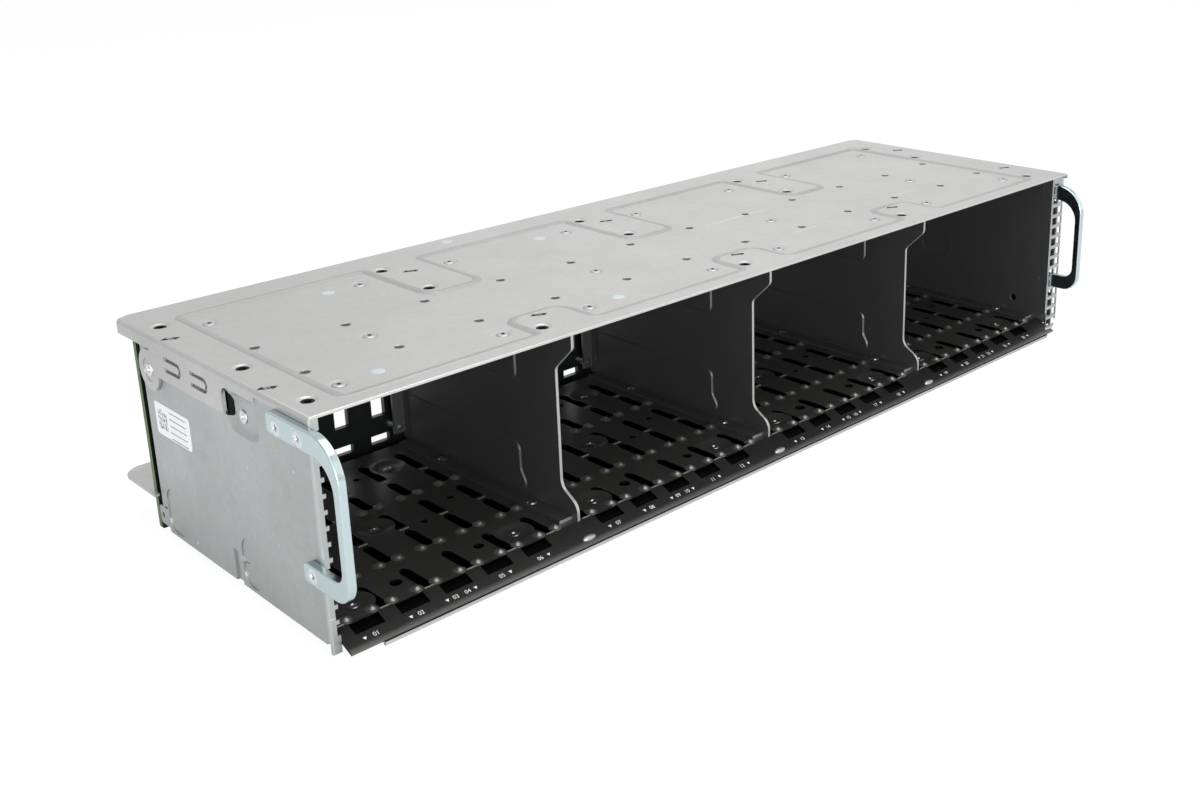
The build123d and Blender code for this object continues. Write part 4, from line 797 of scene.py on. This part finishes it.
# places of the studs, and their profile in radius and height
PALE_SPOTS = ((37.4, 19.5), (71.6, 108.3), (177.9, 108.9), (144.5, 19.7), (145.8, 134.3))
PALE_SPOT = [(0, 0.05), (1.9, 0.05), (2.4, 0.03), (2.6, -0.05), (0, -0.05)]
# behind this the cover is not sunk
FIELD_END = 120


def add_pale_spots():
    """Flush pressed studs in the cover, burnished paler than the sheet round them."""
    bm = bmesh.new()
    for x, y in PALE_SPOTS:
        top = FIELD_Z if y < FIELD_END else COVER_Z
        turn_profile(bm, at(x, y, top), UP, PALE_SPOT)
    bmesh.ops.recalc_face_normals(bm, faces=bm.faces)
    finished_piece(bm, "burnished_spots", BURNISHED, 30.0)


for smooth_node, slot_name in (("left_handle", "zinc_plate"), ("right_handle", "zinc_plate"),
                               ("top_cover", "galvanised"), ("left_side_panel", "galvanised"),
                               ("divider_1", "black_sheet"), ("divider_2", "black_sheet"),
                               ("divider_3", "black_sheet")):
    smoothed_copy(smooth_node)
# the tray's plain bosses, all above its floor, give way to the turned ones
BOSS_FOOT = (FLOOR_Z + 0.04) * MM
smoothed_copy("lower_guide_tray", leave_out=lambda place: place.z > BOSS_FOOT)
add_fasteners()
add_guide_domes()
add_bridge_ribs()
add_lip_marks()
add_label()
add_pale_spots()
add_hole_painted_shade()
add_swages()
add_channel_details()
add_divider_lugs()


# the camera: angles in degrees, its place in millimetres of the drawing, lens in millimetres, shifts
VIEW_ANGLES = (-44.487, 17.506, -1.102)
VIEW_PLACE = (-184.559, -353.603, 240.286)
LENS = 40.879
LENS_SHIFT = (-0.0737, -0.0937)


def aim_camera():
    """The camera that took the photograph, worked out from the cage's own repeated features."""
    azimuth, elevation, roll = (math.radians(angle) for angle in VIEW_ANGLES)
    level = math.cos(elevation)
    back = Vector((math.sin(azimuth) * level, -math.cos(azimuth) * level, math.sin(elevation)))
    right = (-back).cross(UP).normalized()
    up = right.cross(-back)
    x_axis = right * math.cos(roll) + up * math.sin(roll)
    y_axis = up * math.cos(roll) - right * math.sin(roll)
    lens = bpy.data.cameras.new("photo_camera")
    lens.sensor_width = 36.0
    lens.lens = LENS
    lens.shift_x, lens.shift_y = LENS_SHIFT
    lens.clip_start = 0.01
    lens.clip_end = 50
    holder = bpy.data.objects.new("photo_camera", lens)
    turn = Matrix((x_axis, y_axis, back)).transposed().to_4x4()
    holder.matrix_world = Matrix.Translation(at(*VIEW_PLACE)) @ turn
    bpy.context.scene.collection.objects.link(holder)
    bpy.context.scene.camera = holder


def lay_floor(height):
    """White paper under and behind the cage, which keeps its soft shadow."""
    bm = bmesh.new()
    bmesh.ops.create_grid(bm, x_segments=1, y_segments=1, size=12.0)
    bmesh.ops.translate(bm, verts=bm.verts, vec=(0, 0, height))
    mesh = bpy.data.meshes.new("studio_floor")
    bm.to_mesh(mesh)
    bm.free()
    floor = bpy.data.objects.new("studio_floor", mesh)
    bpy.context.scene.collection.objects.link(floor)
    finish, tree = new_finish("white_paper_sweep")
    paper = put(tree, "ShaderNodeBsdfPrincipled", {"Base Color": colour("F2F2F2"), "Roughness": 0.9})
    glow = put(tree, "ShaderNodeEmission", {"Color": (1, 1, 1, 1), "Strength": 1.05})
    rays = put(tree, "ShaderNodeLightPath")
    seen = put(tree, "ShaderNodeMath", {0: rays.outputs["Is Camera Ray"], 1: 0.88}, operation="MULTIPLY")
    mixed = put(tree, "ShaderNodeMixShader", {0: seen.outputs[0], 1: paper.outputs["BSDF"],
                                              2: glow.outputs["Emission"]})
    put(tree, "ShaderNodeOutputMaterial", {"Surface": mixed.outputs["Shader"]})
    mesh.materials.append(finish)


# the lamps: name, place, target, size in metres and power in watts
LAMPS = (
    ("overhead_softbox", (0.1, -0.1, 1.3), (0, 0, 0), 1.2, 10.0),
    ("back_right_softbox", (1.3, 1.2, 0.9), (0.1, 0, 0.05), 1.4, 1.1),
    ("bay_fill", (-0.5, -1.1, 0.28), (0.05, 0.0, 0.0), 0.5, 9.0),
    ("front_left_softbox", (-1.0, -0.9, 0.8), (0, 0, 0.02), 1.8, 6.0),
    ("front_right_softbox", (1.1, -1.0, 0.6), (0, 0, 0.02), 1.8, 5.0),
)


def soft_lamp(name, place, target, size, power):
    """One round lamp that looks at its target."""
    lamp = bpy.data.lights.new(name, "AREA")
    lamp.shape = "DISK"
    lamp.size = size
    lamp.energy = power
    holder = bpy.data.objects.new(name, lamp)
    look = (Vector(target) - Vector(place)).to_track_quat("-Z", "Y")
    holder.matrix_world = Matrix.Translation(place) @ look.to_matrix().to_4x4()
    bpy.context.scene.collection.objects.link(holder)


def light_studio():
    """A dim pale room, white to the camera, and the lamps."""
    world = bpy.data.worlds.new("studio")
    world.use_nodes = True
    tree = world.node_tree
    tree.nodes.clear()
    rays = put(tree, "ShaderNodeLightPath")
    dim = put(tree, "ShaderNodeBackground", {"Color": colour("E9ECEF"), "Strength": 0.62})
    white = put(tree, "ShaderNodeBackground", {"Color": (1, 1, 1, 1), "Strength": 1.0})
    straight = rays.outputs["Is Camera Ray"]
    bright = put(tree, "ShaderNodeMath", {0: straight, 1: rays.outputs["Is Transmission Ray"]},
                 operation="MAXIMUM")
    shown = put(tree, "ShaderNodeMath", {0: rays.outputs["Is Glossy Ray"], 1: 0.7, 2: bright.outputs[0]},
                operation="MULTIPLY_ADD")
    mixed = put(tree, "ShaderNodeMixShader", {0: shown.outputs[0], 1: dim.outputs[0], 2: white.outputs[0]})
    put(tree, "ShaderNodeOutputWorld", {"Surface": mixed.outputs[0]})
    bpy.context.scene.world = world
    for name, place, target, size, power in LAMPS:
        soft_lamp(name, place, target, size, power)


bpy.context.scene.view_settings.view_transform = "Standard"
aim_camera()
lay_floor(CAD_BOX[0][2] - 0.0001)
light_studio()
